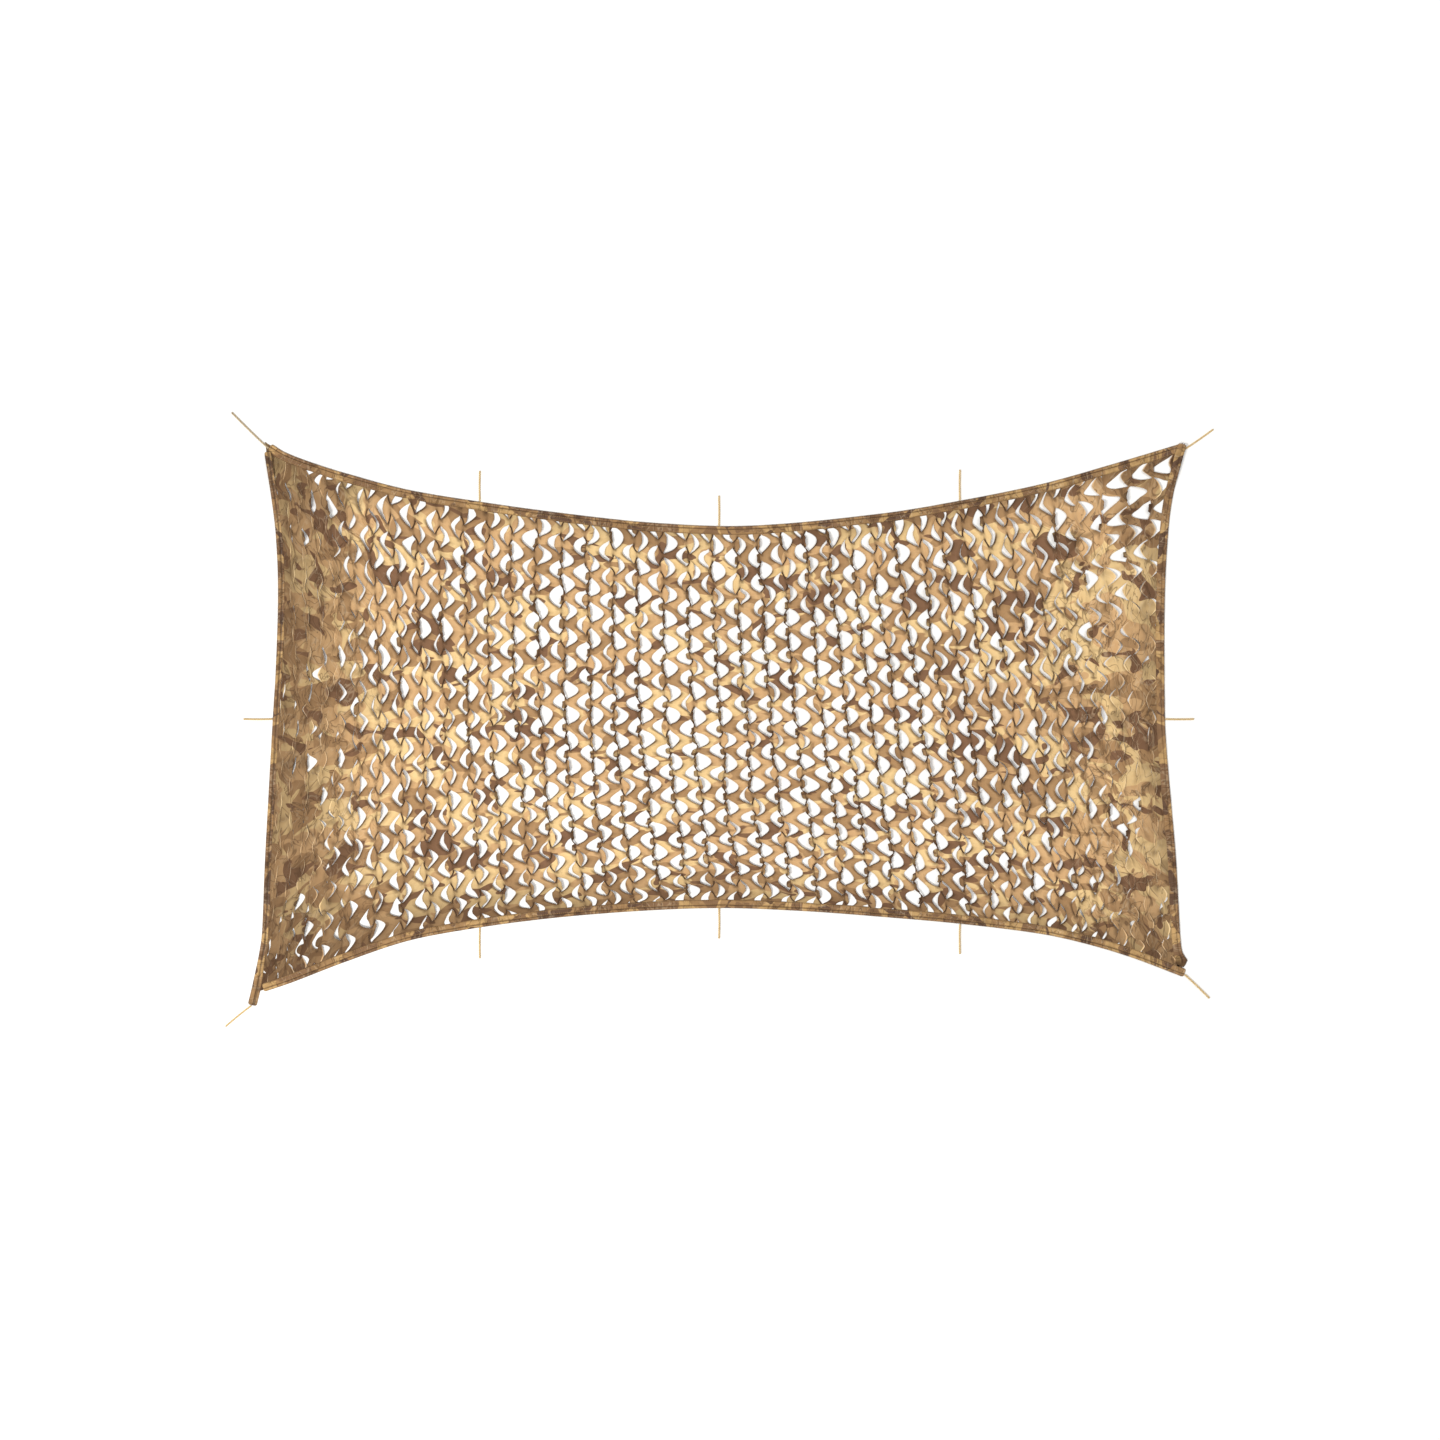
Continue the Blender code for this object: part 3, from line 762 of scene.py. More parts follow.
@dataclass
class DrawnCloth:
    """The slit cloth, drawn out: zigzag ribbons, the chains between them and the leaves."""

    plan: NetPlan
    first_chain: int = -21
    last_chain: int = 21
    first_row: int = -8
    last_row: int = 9
    steps: int = 20  # rows of points in one period
    joined_steps: int = 2  # of them, that ribbon and chain share on each side of a bridge
    bridge: float = 0.130  # half the length that a ribbon shares with a chain, in periods
    band_bridge: float = 0.25  # the same in the slack bands at the short ends
    band_from: tuple[float, float] = (14.0, 17.5)  # the chains between which a band begins
    ribbon_width: float = 0.0285
    width_change: float = 0.10
    chain_width: float = 0.0074
    chain_pull: float = 0.0066
    flat_pitch: float = 0.050  # of the uncut columns
    flat_period: float = 0.112  # of the cut rows
    # the outline of the holes
    tip_round: float = 0.34
    tip_sharp: float = 0.13
    tip_power: float = 1.15
    corner_fill: float = 0.84
    reach_change: float = 0.18
    least_reach: float = 0.30  # as a share of the columns' pitch
    across: tuple[float, ...] = (0.0, 0.11, 0.25, 0.62, 0.88, 1.0)
    # heights
    hem_inset: float = 0.007
    flat_from: float = 0.027  # the cloth lies flat within this distance of an outer edge
    flat_to: float = 0.060
    rest_height: float = 0.0022
    least_height: float = 0.0006
    most_height: float = 0.019
    leg_lifts: tuple[float, float] = (0.0045, 0.0030)  # of a ribbon's left and right edges
    belly: float = 0.0007  # how far a ribbon sags between its edges
    chain_arch: float = 0.0050
    chain_bow: float = 0.0050
    chain_twist: float = 0.0012
    chain_rise: float = 0.0010  # how far a chain lies above the ribbons
    chain_waist: float = 0.42  # how much narrower it is where it is free
    wave_height: float = 0.0016
    crease_height: float = 0.0013
    crease_from: tuple[float, float] = (1.10, 1.28)  # of x either way, where the creases begin
    fold_share: float = 0.8  # of the height of the plan's folds
    drift_gain: float = 0.7  # how much further the cloth drifts at the corners
    reach_rounds: int = 12  # of the search for the holes' reach
    # the leaves
    leaf_reach: float = 0.0250
    leaf_along: int = 9
    leaf_out: int = 6
    leaf_crowding: float = 1.6  # how its points crowd towards the tip
    leaf_share: float = 0.98  # of its hole's length, that a flat leaf takes
    leaf_narrowing: tuple[float, float] = (0.52, 0.38)  # what curling takes off, left and right
    leaf_slip: tuple[float, float] = (0.05, 0.14)  # of a curled left leaf, in periods: mean, change
    leaf_change: float = 0.20
    leaf_lean: float = 0.15
    least_leaf: float = 0.0005
    slit: float = 0.0085  # left open round a leaf that lies flat
    slit_change: float = 0.9
    slit_from: tuple[float, float] = (0.020, 0.034)  # the holes' reach, where slits begin
    curl_least: float = 8.0  # of a flat leaf, in radians a metre
    curl_more: tuple[float, float] = (44.0, 130.0)  # what curling adds, left and right
    curl_change: float = 1.2
    curl_start: tuple[float, float] = (0.10, 0.25)  # in radians, and what curling adds
    curl_end: float = 4.2  # in radians
    curl_rise: float = 0.6  # the height of a curl, as a share of a round one's
    curled_at: tuple[float, ...] = (-20, -16, -13, -10, -7, -3, 3, 8, 11, 14, 17, 20)
    curled_share: tuple[float, ...] = (
        0.03, 0.05, 0.10, 0.30, 0.62, 0.78, 0.80, 0.68, 0.46, 0.15, 0.06, 0.03)
    # painted shade where the cloth lies gathered and creased: the edges, low left, bands and
    # corners
    darkening_shares: tuple[float, ...] = (0.24, 0.24, 0.72, 0.26)
    darkening_gain: float = 1.35
    darkening_most: float = 0.76
    blotch_share: float = 0.025
    # painted shade on a ribbon's rim, and what rising and falling legs add on their shaded edge
    leg_shades: tuple[float, float, float] = (0.16, 0.84, 0.68)
    # how much painted shade curling puts on a leaf, its turned part, and its fold at the chain
    curl_shade: float = 0.46
    turn_shade: float = 0.35
    fold_shades: tuple[float, float] = (0.35, 0.45)
    # the tip's painted shade; a band turns it into a painted highlight along the closed slit
    tip_shades: tuple[float, float] = (0.42, -1.05)  # of a leaf's tip, and what a band adds
    # the random fields and the seeds of the other changes
    drifts: tuple[tuple[Wander, Wander], ...] = (
        (Wander(3, 0.16), Wander(5, 0.050)), (Wander(7, 0.15), Wander(9, 0.045)))
    drift_sizes: tuple[float, float] = (0.0055, 0.0060)
    waves: Wander = Wander(21, 0.11)
    crinkles: Wander = Wander(23, 0.030)
    blotches: Wander = Wander(27, 0.09)
    widths: Wander = Wander(41, 0.09)
    curls: Wander = Wander(63, 3.0)
    reach_seeds: tuple[int, int] = (31, 33)
    curl_seed: int = 61
    bow_seed: int = 71
    arch_seed: int = 73
    leaf_seed: int = 81
    lean_seed: int = 85
    slide_seed: int = 87
    # places near the corners: x, y, size, how many more leaves are curled away, wider ribbons
    loose_spots: tuple[tuple[float, float, float, float, float], ...] = (
        (1.37, 0.75, 0.21, 0.85, -0.12), (1.15, 0.64, 0.28, 0.45, 0.0),
        (1.28, -0.60, 0.26, 0.30, 0.12),
        (-1.20, -0.68, 0.34, 0.30, 0.34), (-1.28, 0.72, 0.22, 0.35, 0.05),
        (-1.43, -0.74, 0.20, 1.00, -0.30), (-1.385, 0.045, 0.050, 1.10, -0.35),
        (-1.340, 0.165, 0.045, 1.10, -0.35), (-1.344, -0.036, 0.040, 1.10, -0.30),
        (-1.350, -0.135, 0.045, 1.10, -0.35), (-1.405, 0.760, 0.055, 1.40, -0.40),
        (-1.325, 0.815, 0.060, 1.30, -0.30), (-1.345, 0.605, 0.050, 1.10, -0.35),
        (-1.385, 0.648, 0.035, 1.10, -0.35), (-1.350, -0.580, 0.060, 0.90, -0.30),
        (1.30, -0.30, 0.08, 0.90, -0.40))

    def band(self, chain: Array) -> Array:
        """How far a chain is inside the slack bands at the short ends, from 0 to 1."""
        return ramp(np.abs(chain), *self.band_from)

    def bridge_at(self, chain: Array) -> Array:
        """Half the length of the bridges beside each chain, in periods."""
        return self.bridge + (self.band_bridge - self.bridge) * self.band(chain)

    def peak(self, away: Array, chain: Array) -> Array:
        """The outline of a hole, from 1 at its tip to 0 where the bridge begins.

        Args:
            away: how far along the chain from the hole's middle, in periods.
            chain: the chain beside the hole.

        Returns:
            The share of the hole's reach.
        """
        v = np.clip(away / (0.5 - self.bridge_at(chain)), 0.0, 1.0)
        blunt = self.tip_sharp + (self.tip_round - self.tip_sharp) * fade(np.abs(chain), 6, 11)
        fall = (np.sqrt(v * v + blunt * blunt) - blunt) / (np.hypot(1, blunt) - blunt)
        return (1 - fall ** self.tip_power) ** self.corner_fill

    def loosened(self, x: Array, y: Array) -> tuple[Array, Array]:
        """What the loose spots change.

        Args:
            x, y: the places.

        Returns:
            What they add to the share of curled leaves and to the ribbons' width.
        """
        curled = np.zeros(np.broadcast(x, y).shape)
        wider = np.zeros_like(curled)
        for spot_x, spot_y, size, more, width in self.loose_spots:
            near = fade(np.hypot(x - spot_x, y - spot_y), 0.3 * size, size)
            curled, wider = curled + more * near, wider + width * near
        return curled, wider

    def near_corner(self, x: Array, y: Array) -> Array:
        """How near each place is to a corner, from 0 to 1."""
        top, bottom, left, right = (side.inset(x, y) for side in self.plan.sides())
        return fade(np.minimum(top, bottom), 0.05, 0.24) * fade(np.minimum(left, right), 0.05, 0.34)

    def darkened(self, shade: Array, x: Array, y: Array) -> Array:
        """Adds a place's painted shade, where the cloth lies gathered, and its blotches of tone.

        Args:
            shade: the shade that the point already has.
            x, y: the places.

        Returns:
            The darker shade; a painted highlight at a cut stays as it is.
        """
        inset, above = self.plan.inset(x, y), self.plan.bottom.inset(x, y)
        low_edge = fade(above, 0.05, 0.17) * (0.28 + 0.30 * ramp(-x, 0.10, 0.70))
        edge, low_left, band, corner = (share * field for share, field in zip(self.darkening_shares, (
            fade(inset, 0.015, 0.095) + 0.8 * fade(inset, 0.03, 0.06),
            ramp(-x, 0.55, 1.05) * fade(above, 0.14, 0.44),
            np.maximum(ramp(-x, 1.12, 1.40), 0.32 * ramp(x, 1.22, 1.42)),
            self.near_corner(x, y))))
        blotch = self.blotch_share * (1 + self.blotches(x, y))
        # painted shade where the cloth gathers, plus random blotches of tone
        darkening = self.darkening_gain * (edge + low_edge + low_left + band + corner + blotch)
        darkening_share = self.darkening_most * (1 - np.exp(-darkening / self.darkening_most))
        return np.where(shade < 0, shade, 1 - (1 - shade) * (1 - darkening_share))

    def drift(self, x: Array, y: Array) -> tuple[Array, Array]:
        """Moves the points of the lattice a little, as slack cloth lies.

        Args:
            x, y: the points.

        Returns:
            The new x and y.
        """
        loose = 1 + self.drift_gain * self.near_corner(x, y)
        wide, fine = self.drift_sizes
        dx, dy = (wide * slow(x, y) + fine * quick(x, y) * loose for slow, quick in self.drifts)
        return x + dx, y + dy

    def pull(self, row: Array) -> Array:
        """How far aside the ribbons pull each chain, in turn from its left and its right."""
        return -self.chain_pull * np.cos(2 * np.pi * row)

    def ground(self, x: Array, y: Array) -> Array:
        """The height of the cloth's mean surface.

        Args:
            x, y: the places.

        Returns:
            A height for each place.
        """
        wave = self.wave_height * (1 + self.waves(x, y))
        slack = ramp(np.abs(x), *self.crease_from)
        crease = self.crease_height * slack * self.crinkles(x + 0.45 * y, 0.55 * y - 0.25 * x)
        return self.rest_height + wave + crease + self.fold_share * self.plan.fold_height(x, y)

    def settle(self, x: Array, y: Array, z: Array) -> tuple[Array, Array]:
        """Keeps points inside the tapes and low near them.

        Args:
            x, y: the points.
            z: their heights.

        Returns:
            The places as (..., 3), and for each whether it was inside the hem line.
        """
        x, y, z = np.broadcast_arrays(x, y, z)
        inset = self.plan.inset(x, y)
        for side in self.plan.sides():
            x, y = side.keep_in(x, y, self.hem_inset)
        low = fade(inset, self.flat_from, self.flat_to)
        z = np.maximum(z * (1 - low) + self.rest_height * low, self.least_height)
        return np.stack((x, y, z), axis=-1), inset > self.hem_inset

    def reach(self, chain: Array, row: Array) -> tuple[Array, Array]:
        """How far the holes reach from their chains, so that the ribbons keep their width.

        Args:
            chain: the chain on the left of the cells.
            row: row numbers.

        Returns:
            The reach and the columns' pitch.
        """
        x0, y0 = self.plan.spot(chain, row)
        x1, y1 = self.plan.spot(chain + 1, row)
        pitch = np.hypot(x1 - x0, y1 - y0)
        ya, yb = self.plan.spot(chain, row - 0.5)[1], self.plan.spot(chain, row + 0.5)[1]
        period = np.abs(yb - ya)
        width = self.ribbon_width * (1 + self.width_change * self.widths(x0, y0))
        width = width * (1 + self.width_change * ramp(np.abs(x0), 0.5, 1.1))
        width = width * (1 + self.loosened(x0, y0)[1])
        flat, bridge = self.chain_width / 2, self.bridge_at(chain + 0.5)
        reach = pitch * 0.5
        for _ in range(self.reach_rounds):
            slope = (reach - flat - 2 * self.chain_pull) / ((0.5 - bridge) * period)
            aim = pitch - flat - width * np.hypot(1, slope) + slope * bridge * period
            reach = 0.5 * (reach + np.maximum(aim, self.least_reach * pitch))
        return reach, pitch

    def openness(self, chain: Array, row: Array, right: int) -> Array:
        """How far each leaf is curled away from its hole.

        Args:
            chain: the leaves' chains.
            row: the row numbers of their middles.
            right: 1 for the leaves on the right of their chains, and 0 for the left.

        Returns:
            A share from 0, flat, to 1.
        """
        column = chain + (0.5 if right else -0.5)
        chance = per_cell(self.curl_seed + right, chain, np.round(row * 2))
        level = SmoothLine(self.curled_at, self.curled_share)(column)
        level = level + 0.10 * self.curls(column, row)
        x, y = self.plan.spot(column, row)
        for less, edge, low, high in (
                (0.26, self.plan.top, 0.10, 0.40), (0.30, self.plan.bottom, 0.06, 0.34),
                (0.45, self.plan, 0.03, 0.08)):
            level = level - less * fade(edge.inset(x, y), low, high)
        return ramp(level + self.loosened(x, y)[0] - chance, -0.16, 0.16)

    def chain_line(self, chain: Array, row: Array) -> tuple[Array, ...]:
        """The middle line of the chains, which stand up free between two bridges.

        Args:
            chain: chain numbers.
            row: row numbers.

        Returns:
            Their x, y, height and half width.
        """
        x, y = self.plan.spot(chain, row)
        free = ramp(1 - bridge_phase(row), 0.35, 0.85) * (1 - self.band(chain))
        span = np.floor(row * 2)
        bow = (per_cell(self.bow_seed, chain, span) - 0.5) * 2
        arch = 0.3 + 0.7 * per_cell(self.arch_seed, chain, span)
        x, y = self.drift(x + self.pull(row), y)
        x = x + self.chain_bow * bow * free
        z = self.ground(x, y) + self.chain_arch * arch * free + self.chain_rise
        return x, y, z, self.chain_width / 2 * (1 - self.chain_waist * free)

    def on_flat(self, along: Array, row: Array) -> Array:
        """Where points lie on the flat cloth, from their place along it and their row."""
        return joined(along, -row * self.flat_period)

    def ribbon_edge(self, cell: Array, row: Array, reach: Array, right: int) -> tuple[Array, ...]:
        """One edge of the ribbons, beside their holes.

        Args:
            cell: the chain on the left of each ribbon.
            row: row numbers.
            reach: how far the holes reach.
            right: 1 for the right edge and 0 for the left.

        Returns:
            How far the edge is from its chain, really and on the flat cloth.
        """
        flat_edge = self.chain_width / 2
        hole = np.round(row + 0.5 * right)
        vary = per_cell(self.reach_seeds[right], cell, hole) - 0.5
        outline = self.peak(np.abs(row + 0.5 * right - hole), cell + right)
        away = flat_edge + (reach * (1 + self.reach_change * vary) - flat_edge) * outline
        return away, flat_edge + self.leaf_reach * outline

    def add_ribbons(self, work: Patchwork, row: Array) -> Array:
        """Adds the zigzag ribbons, one to each cell between two chains.

        Args:
            work: where the cloth is gathered.
            row: the row numbers of the lines of points, as (1, rows, 1).

        Returns:
            The points' numbers by cell, row and place across.
        """
        cell = np.arange(self.first_chain, self.last_chain)[:, None, None]
        s = np.array(self.across)
        reach, pitch = self.reach(cell, row)
        left, cut_left = self.ribbon_edge(cell, row, reach, 0)
        right, cut_right = self.ribbon_edge(cell, row, reach, 1)
        u = left + s * (pitch - left - right)
        x0, y0 = self.plan.spot(cell, row)
        x1, y1 = self.plan.spot(cell + 1, row)
        x, y = self.drift(x0 + (x1 - x0) * u / pitch + self.pull(row), y0 + (y1 - y0) * u / pitch)
        turn = np.sin(2 * np.pi * row)  # above 0 on the legs that rise to the right
        rising, falling = np.clip(turn, 0, 1), np.clip(-turn, 0, 1)
        lift_left, lift_right = self.leg_lifts
        z = self.ground(x, y) + lift_left * rising * (1 - s) ** 2 * (1 - self.band(cell))
        z = z + lift_right * falling * s ** 2 * (1 - self.band(cell + 1))
        z = z - self.belly * np.sin(np.pi * s)
        # painted shade on the rim, stronger on the edge that each leg turns from the light
        rim = fade(np.minimum(s, 1 - s), 0.08, 0.34) * (1 - 0.7 * self.band(cell))
        plain, up, down = self.leg_shades
        shade = rim * (plain + up * rising ** 0.5 * (s < 0.5) + down * falling ** 0.5 * (s > 0.5))
        points, kept = self.settle(x, y, z)
        along = self.flat_pitch * cell + cut_left
        along = along + s * (self.flat_pitch * (cell + 1) - cut_right - along)
        return work.add_points(points, self.on_flat(along, row), self.darkened(shade, x, y), kept)

    def add_chains(self, work: Patchwork, row: Array) -> Array:
        """Adds the chains, three points across.

        Args:
            work: where the cloth is gathered.
            row: the row numbers of the lines of points, as (1, rows, 1).

        Returns:
            The points' numbers by chain, row and place across.
        """
        chain = np.arange(self.first_chain, self.last_chain + 1)[:, None, None]
        x, y, z, half = self.chain_line(chain, row)
        part = np.array((-1.0, 0.0, 1.0))
        points, kept = self.settle(
            x + half * part, y, z + self.chain_twist * part * np.sin(2 * np.pi * row))
        # painted shade on the chains, darkest where they stand free on edge, less towards the bands
        taut = fade(np.abs(chain + 0.5 * np.sign(chain)), 13, 19)
        shade = (0.34 + 0.66 * ramp(1 - bridge_phase(row), 0.1, 0.6)) * (0.25 + 0.75 * taut)
        shade = self.darkened(shade * (1 - 0.9 * self.band(chain)), x, y)
        flat = self.on_flat(self.flat_pitch * chain + self.chain_width / 2 * part, row)
        return work.add_points(points, flat, shade, kept)

    def make_net(self) -> Piece:
        """Builds the ribbons and the chains, joined at their bridges, as one mesh.

        Returns:
            The piece.
        """
        work = Patchwork()
        steps = np.arange(self.first_row * self.steps, self.last_row * self.steps + 1)
        row = (steps / self.steps)[None, :, None]
        ribbon, strip = self.add_ribbons(work, row), self.add_chains(work, row)
        from_left = np.abs((steps + self.steps // 2) % self.steps - self.steps // 2)
        from_right = np.abs(steps % self.steps - self.steps // 2)
        on_left, on_right = (away <= self.joined_steps for away in (from_left, from_right))
        strip[1:, on_left, 0] = ribbon[:, on_left, -1]
        strip[:-1, on_right, 2] = ribbon[:, on_right, 0]
        work.add_quads(ribbon)
        work.add_quads(strip)
        return work.make("net_ribbons")

    def add_leaves(self, work: Patchwork, right: int) -> None:
        """Adds the leaves on one side of their chains, each beside its hole.

        Args:
            work: where the cloth is gathered.
            right: 1 for the right side and 0 for the left.
        """
        side = 1 if right else -1
        chain = np.arange(self.first_chain, self.last_chain + 1)[:, None, None, None]
        middle = np.arange(self.first_row, self.last_row + 1)[None, :, None, None]
        middle = middle + (0.0 if right else 0.5)
        vary, slid, leaning = (per_cell(seed + right, chain, np.round(middle * 2)) - 0.5 for seed in
                               (self.leaf_seed, self.slide_seed, self.lean_seed))
        curled = self.openness(chain, middle, right)
        band = self.band(chain)
        a = np.linspace(-1, 1, self.leaf_along)[:, None]
        b = 1 - (1 - np.linspace(0, 1, self.leaf_out)) ** self.leaf_crowding
        half_hole = 0.5 - self.bridge_at(chain)
        row = middle + a * half_hole * (self.leaf_share - self.leaf_narrowing[right] * curled)
        outline = self.peak(np.abs(a) * half_hole, chain)
        if not right:  # these lie on the far side of the light and shrink to a round tongue
            row = row + curled * (self.leaf_slip[0] + self.leaf_slip[1] * slid)
            outline = outline + (np.sqrt(1 - a * a) - outline) * curled
        x, y, z, half = self.chain_line(chain, row)
        closed = ramp(chain, 11.5, 15.0)
        full = self.leaf_reach * (1 + self.leaf_change * vary + 0.35 * closed)
        full = full * (1 - 0.10 * curled)
        hole = self.reach(chain - 1 + right, middle)[0] - self.chain_width / 2
        slit = self.slit * (1 + self.slit_change * vary) * ramp(hole, *self.slit_from)
        slit = slit * (1 - 0.25 * ramp(np.abs(chain), 9, 12)) * (1 - band)
        shown = hole * outline - slit * (1 - curled)
        length = np.maximum(np.minimum(full * outline, shown), self.least_leaf) * b
        curl = self.curl_more[right] * curled ** 1.5 * (1 + self.curl_change * vary)
        curl = self.curl_least + curl
        start = self.curl_start[0] + self.curl_start[1] * curled
        angle = np.minimum(start + curl * length, self.curl_end)
        out = (np.sin(angle) - np.sin(start)) / curl
        up = self.curl_rise * (np.cos(start) - np.cos(angle)) / curl
        points, kept = self.settle(x + side * (half + out), y + self.leaf_lean * leaning * out,
                                   np.minimum(z + up, self.most_height))
        along = side * (self.chain_width / 2 + self.leaf_reach * outline * b)
        row = middle + a * self.leaf_share * half_hole
        flat = self.on_flat(self.flat_pitch * chain + along, row)
        # painted shade at tips, rolls and folds; in the bands a tip takes a painted highlight
        tip = self.tip_shades[0] + self.tip_shades[1] * band * (1 - curled)
        fold = (b == 0) * (1 - band) * (self.fold_shades[0] + self.fold_shades[1] * curled)
        # the turned part shows the cloth's darker back, with painted shade in the roll
        shade = ramp(b, 0.80, 1.0) * tip + self.turn_shade * ramp(angle, 1.2, 2.2)
        shade = shade + fold + self.curl_shade * curled
        shade = self.darkened(np.clip(shade, -0.8, DARKEST), x, y)
        numbers = work.add_points(points, flat, shade, kept)
        work.add_quads(numbers if right else numbers[..., ::-1])

    def dress(self) -> list[Piece]:
        """Builds the cloth's pieces and gives them their finish.

        Returns:
            The net of ribbons and chains, and the leaves.
        """
        finish = CamouflagePrint("camouflage_cloth").make()
        net, work = self.make_net(), Patchwork()
        for right in (1, 0):
            self.add_leaves(work, right)
        leaves = work.make("net_leaves")
        dress_piece(net, finish, Slot.CLOTH, "net_cloth")
        dress_piece(leaves, finish, Slot.CLOTH)
        return [net, leaves]


# ---------------------------------------------------------------- the bound edges
@dataclass
class BindingTape:
    """A folded tape sewn over one side of the net."""

    name: str
    side: Side
    crosses: bool = False  # whether its last end lies on another tape
    width: float = 0.028
    height: float = 0.0052
    step: float = 0.008
    roll: float = 0.32  # the share of the width that the rolled outer edge takes
    round_ends: tuple[bool, bool] = (True, True)
    end_radius: float = 0.0065
    end_share: float = 0.60  # of the width, left at a rounded end
    end_turns: tuple[float, ...] = (0.0, 0.12, 0.35, 0.65)  # where its points are, in radii
    flare: float = 0.0  # how far the outer edge stands out at the tape's first end
    flare_run: float = 0.032
    flare_back: float = 0.016
    flare_point: float = 1.3
    wider_end: float = 0.0  # how much wider the tape is towards its first end
    wider_run: tuple[float, float] = (0.06, 0.18)
    overrun: tuple[float, float] = (0.0, 0.0)  # of the first end, at the outer and inner edges
    # painted shade: first end, groove, outer and inner edges; then darker tone and random pinches
    end_shade: float = 0.0  # how much darker the first end is
    groove_shade: float = 0.58
    outer_shade: float = 0.34
    inner_shade: float = 0.34
    print_shade: float = 0.20
    pinch_shade: float = 0.15
    seams: tuple[float, ...] = (0.45, 0.88)  # the rows of stitches, as shares of the width
    crossing_lift: float = 0.0064
    crossing_flat: float = 0.060
    crossing_ramp: float = 0.155
    floor_gap: float = 0.0002
    wave_depth: float = 0.0014
    wave_seed: int = 91
    puff_depth: float = 0.0007
    puffs: Wander = Wander(97, 0.03)
    pinches: Wander = Wander(99, 0.02)

    def lift(self, at: Array) -> Array:
        """How high the tape's underside is at each place along it."""
        sloped = fade(self.side.last - at, self.crossing_flat, self.crossing_ramp)
        return self.crossing_lift * sloped * self.crosses

    def profile(self) -> tuple[Array, Array]:
        """The tape's outline across.

        Returns:
            Shares of the width and of the height, once round.
        """
        roll = self.roll
        rows = ((1.00, 0.03), (0.60, 0.0), (0.10, 0.0), (0.015, 0.22), (0.0, 0.50), (0.03, 0.82),
                (0.36 * roll, 1.0), (0.70 * roll, 0.98), (0.90 * roll, 0.78), (roll, 0.40),
                (1.12 * roll, 0.54), (1.4 * roll, 0.66), (0.65, 0.70), (0.86, 0.66), (0.95, 0.56),
                (1.0, 0.36), (1.0, 0.03))
        return tuple(np.array(rows).T[:, None, :])

    def end_width(self, at: Array) -> Array:
        """How far the tape narrows at its rounded ends.

        Args:
            at: the places along it.

        Returns:
            The share of the width that is left at each of them.
        """
        near = np.full(at.shape, self.end_radius)
        for rounded, end in zip(self.round_ends, (self.side.first, self.side.last)):
            if rounded:
                near = np.minimum(near, np.abs(at - end))
        bow = np.sqrt(1 - (1 - near / self.end_radius) ** 2)
        return self.end_share + (1 - self.end_share) * bow

    def bulge(self, along: Array) -> Array:
        """How far the outer edge stands out near the tape's first end.

        Args:
            along: the places along it.

        Returns:
            A distance for each of them.
        """
        away = along - self.side.first
        share = np.where(away < 0, -away / self.flare_back, away / self.flare_run)
        return self.flare * (1 - np.clip(share, 0, 1)) ** self.flare_point

    def make(self) -> Piece:
        """Builds the folded tape as a closed soft strip.

        Returns:
            The piece.
        """
        first, last, turn = self.side.first, self.side.last, self.end_radius
        middle = np.arange(first + turn, last - turn, self.step)
        turns = turn * np.array(self.end_turns)
        at = np.concatenate((first + turns, middle, last - turns[::-1]))[:, None]
        share, level = self.profile()
        outer, inner = self.overrun
        near_first = fade(at, first, first + self.flare_run)
        along = at - near_first * (outer + (inner - outer) * share)
        width = self.width * (1 + self.wider_end * fade(at - first, *self.wider_run))
        wave = self.wave_depth * Wander(self.wave_seed + ord(self.name[-1]), 0.05)(at, at * 0.3)
        across = width * (0.5 + (share - 0.5) * self.end_width(at)) + share * wave
        across = across - (1 - share) * self.bulge(along)
        puff = self.puff_depth * self.puffs(at + share, share * 0.5) * (level > 0.3)
        z = self.lift(at) + self.floor_gap + level * self.height + puff
        place = self.side.place(along, across)
        # painted shade in the groove, at the edges and the first end, over darker tone and pinches
        groove = np.abs(share / self.roll - 1.05) < 0.10
        shade = (self.print_shade + self.outer_shade * (share < 0.05) + self.groove_shade * groove
                 + self.pinch_shade * self.pinches(at, share * 0.2) + self.end_shade * near_first)
        shade = np.clip(shade + self.inner_shade * (share > 0.94), 0, DARKEST)
        work = Patchwork()
        numbers = work.add_points(joined(place[..., 0], place[..., 1], z),
                                  joined(at, share * self.width), shade)
        work.add_tube(numbers[:, ::-1], numbers.shape[1] // 2)
        return work.make(self.name)

    def dress(self) -> Piece:
        """Builds the tape and gives it its finish.

        Returns:
            The piece.
        """
        piece = self.make()
        finish = CamouflagePrint(
            f"{self.name}_print", ground="a98459", sand="cba56e", brown="8a694a", dark="684e3c",
            patch=0.095, slack_from=(0.0, 0.2), stitch_colour="9a7747",
            stitch_rows=tuple(self.width * seam for seam in self.seams)).make()
        dress_piece(piece, finish, Slot.TAPE, self.name.replace("tape", "binding"))
        return piece


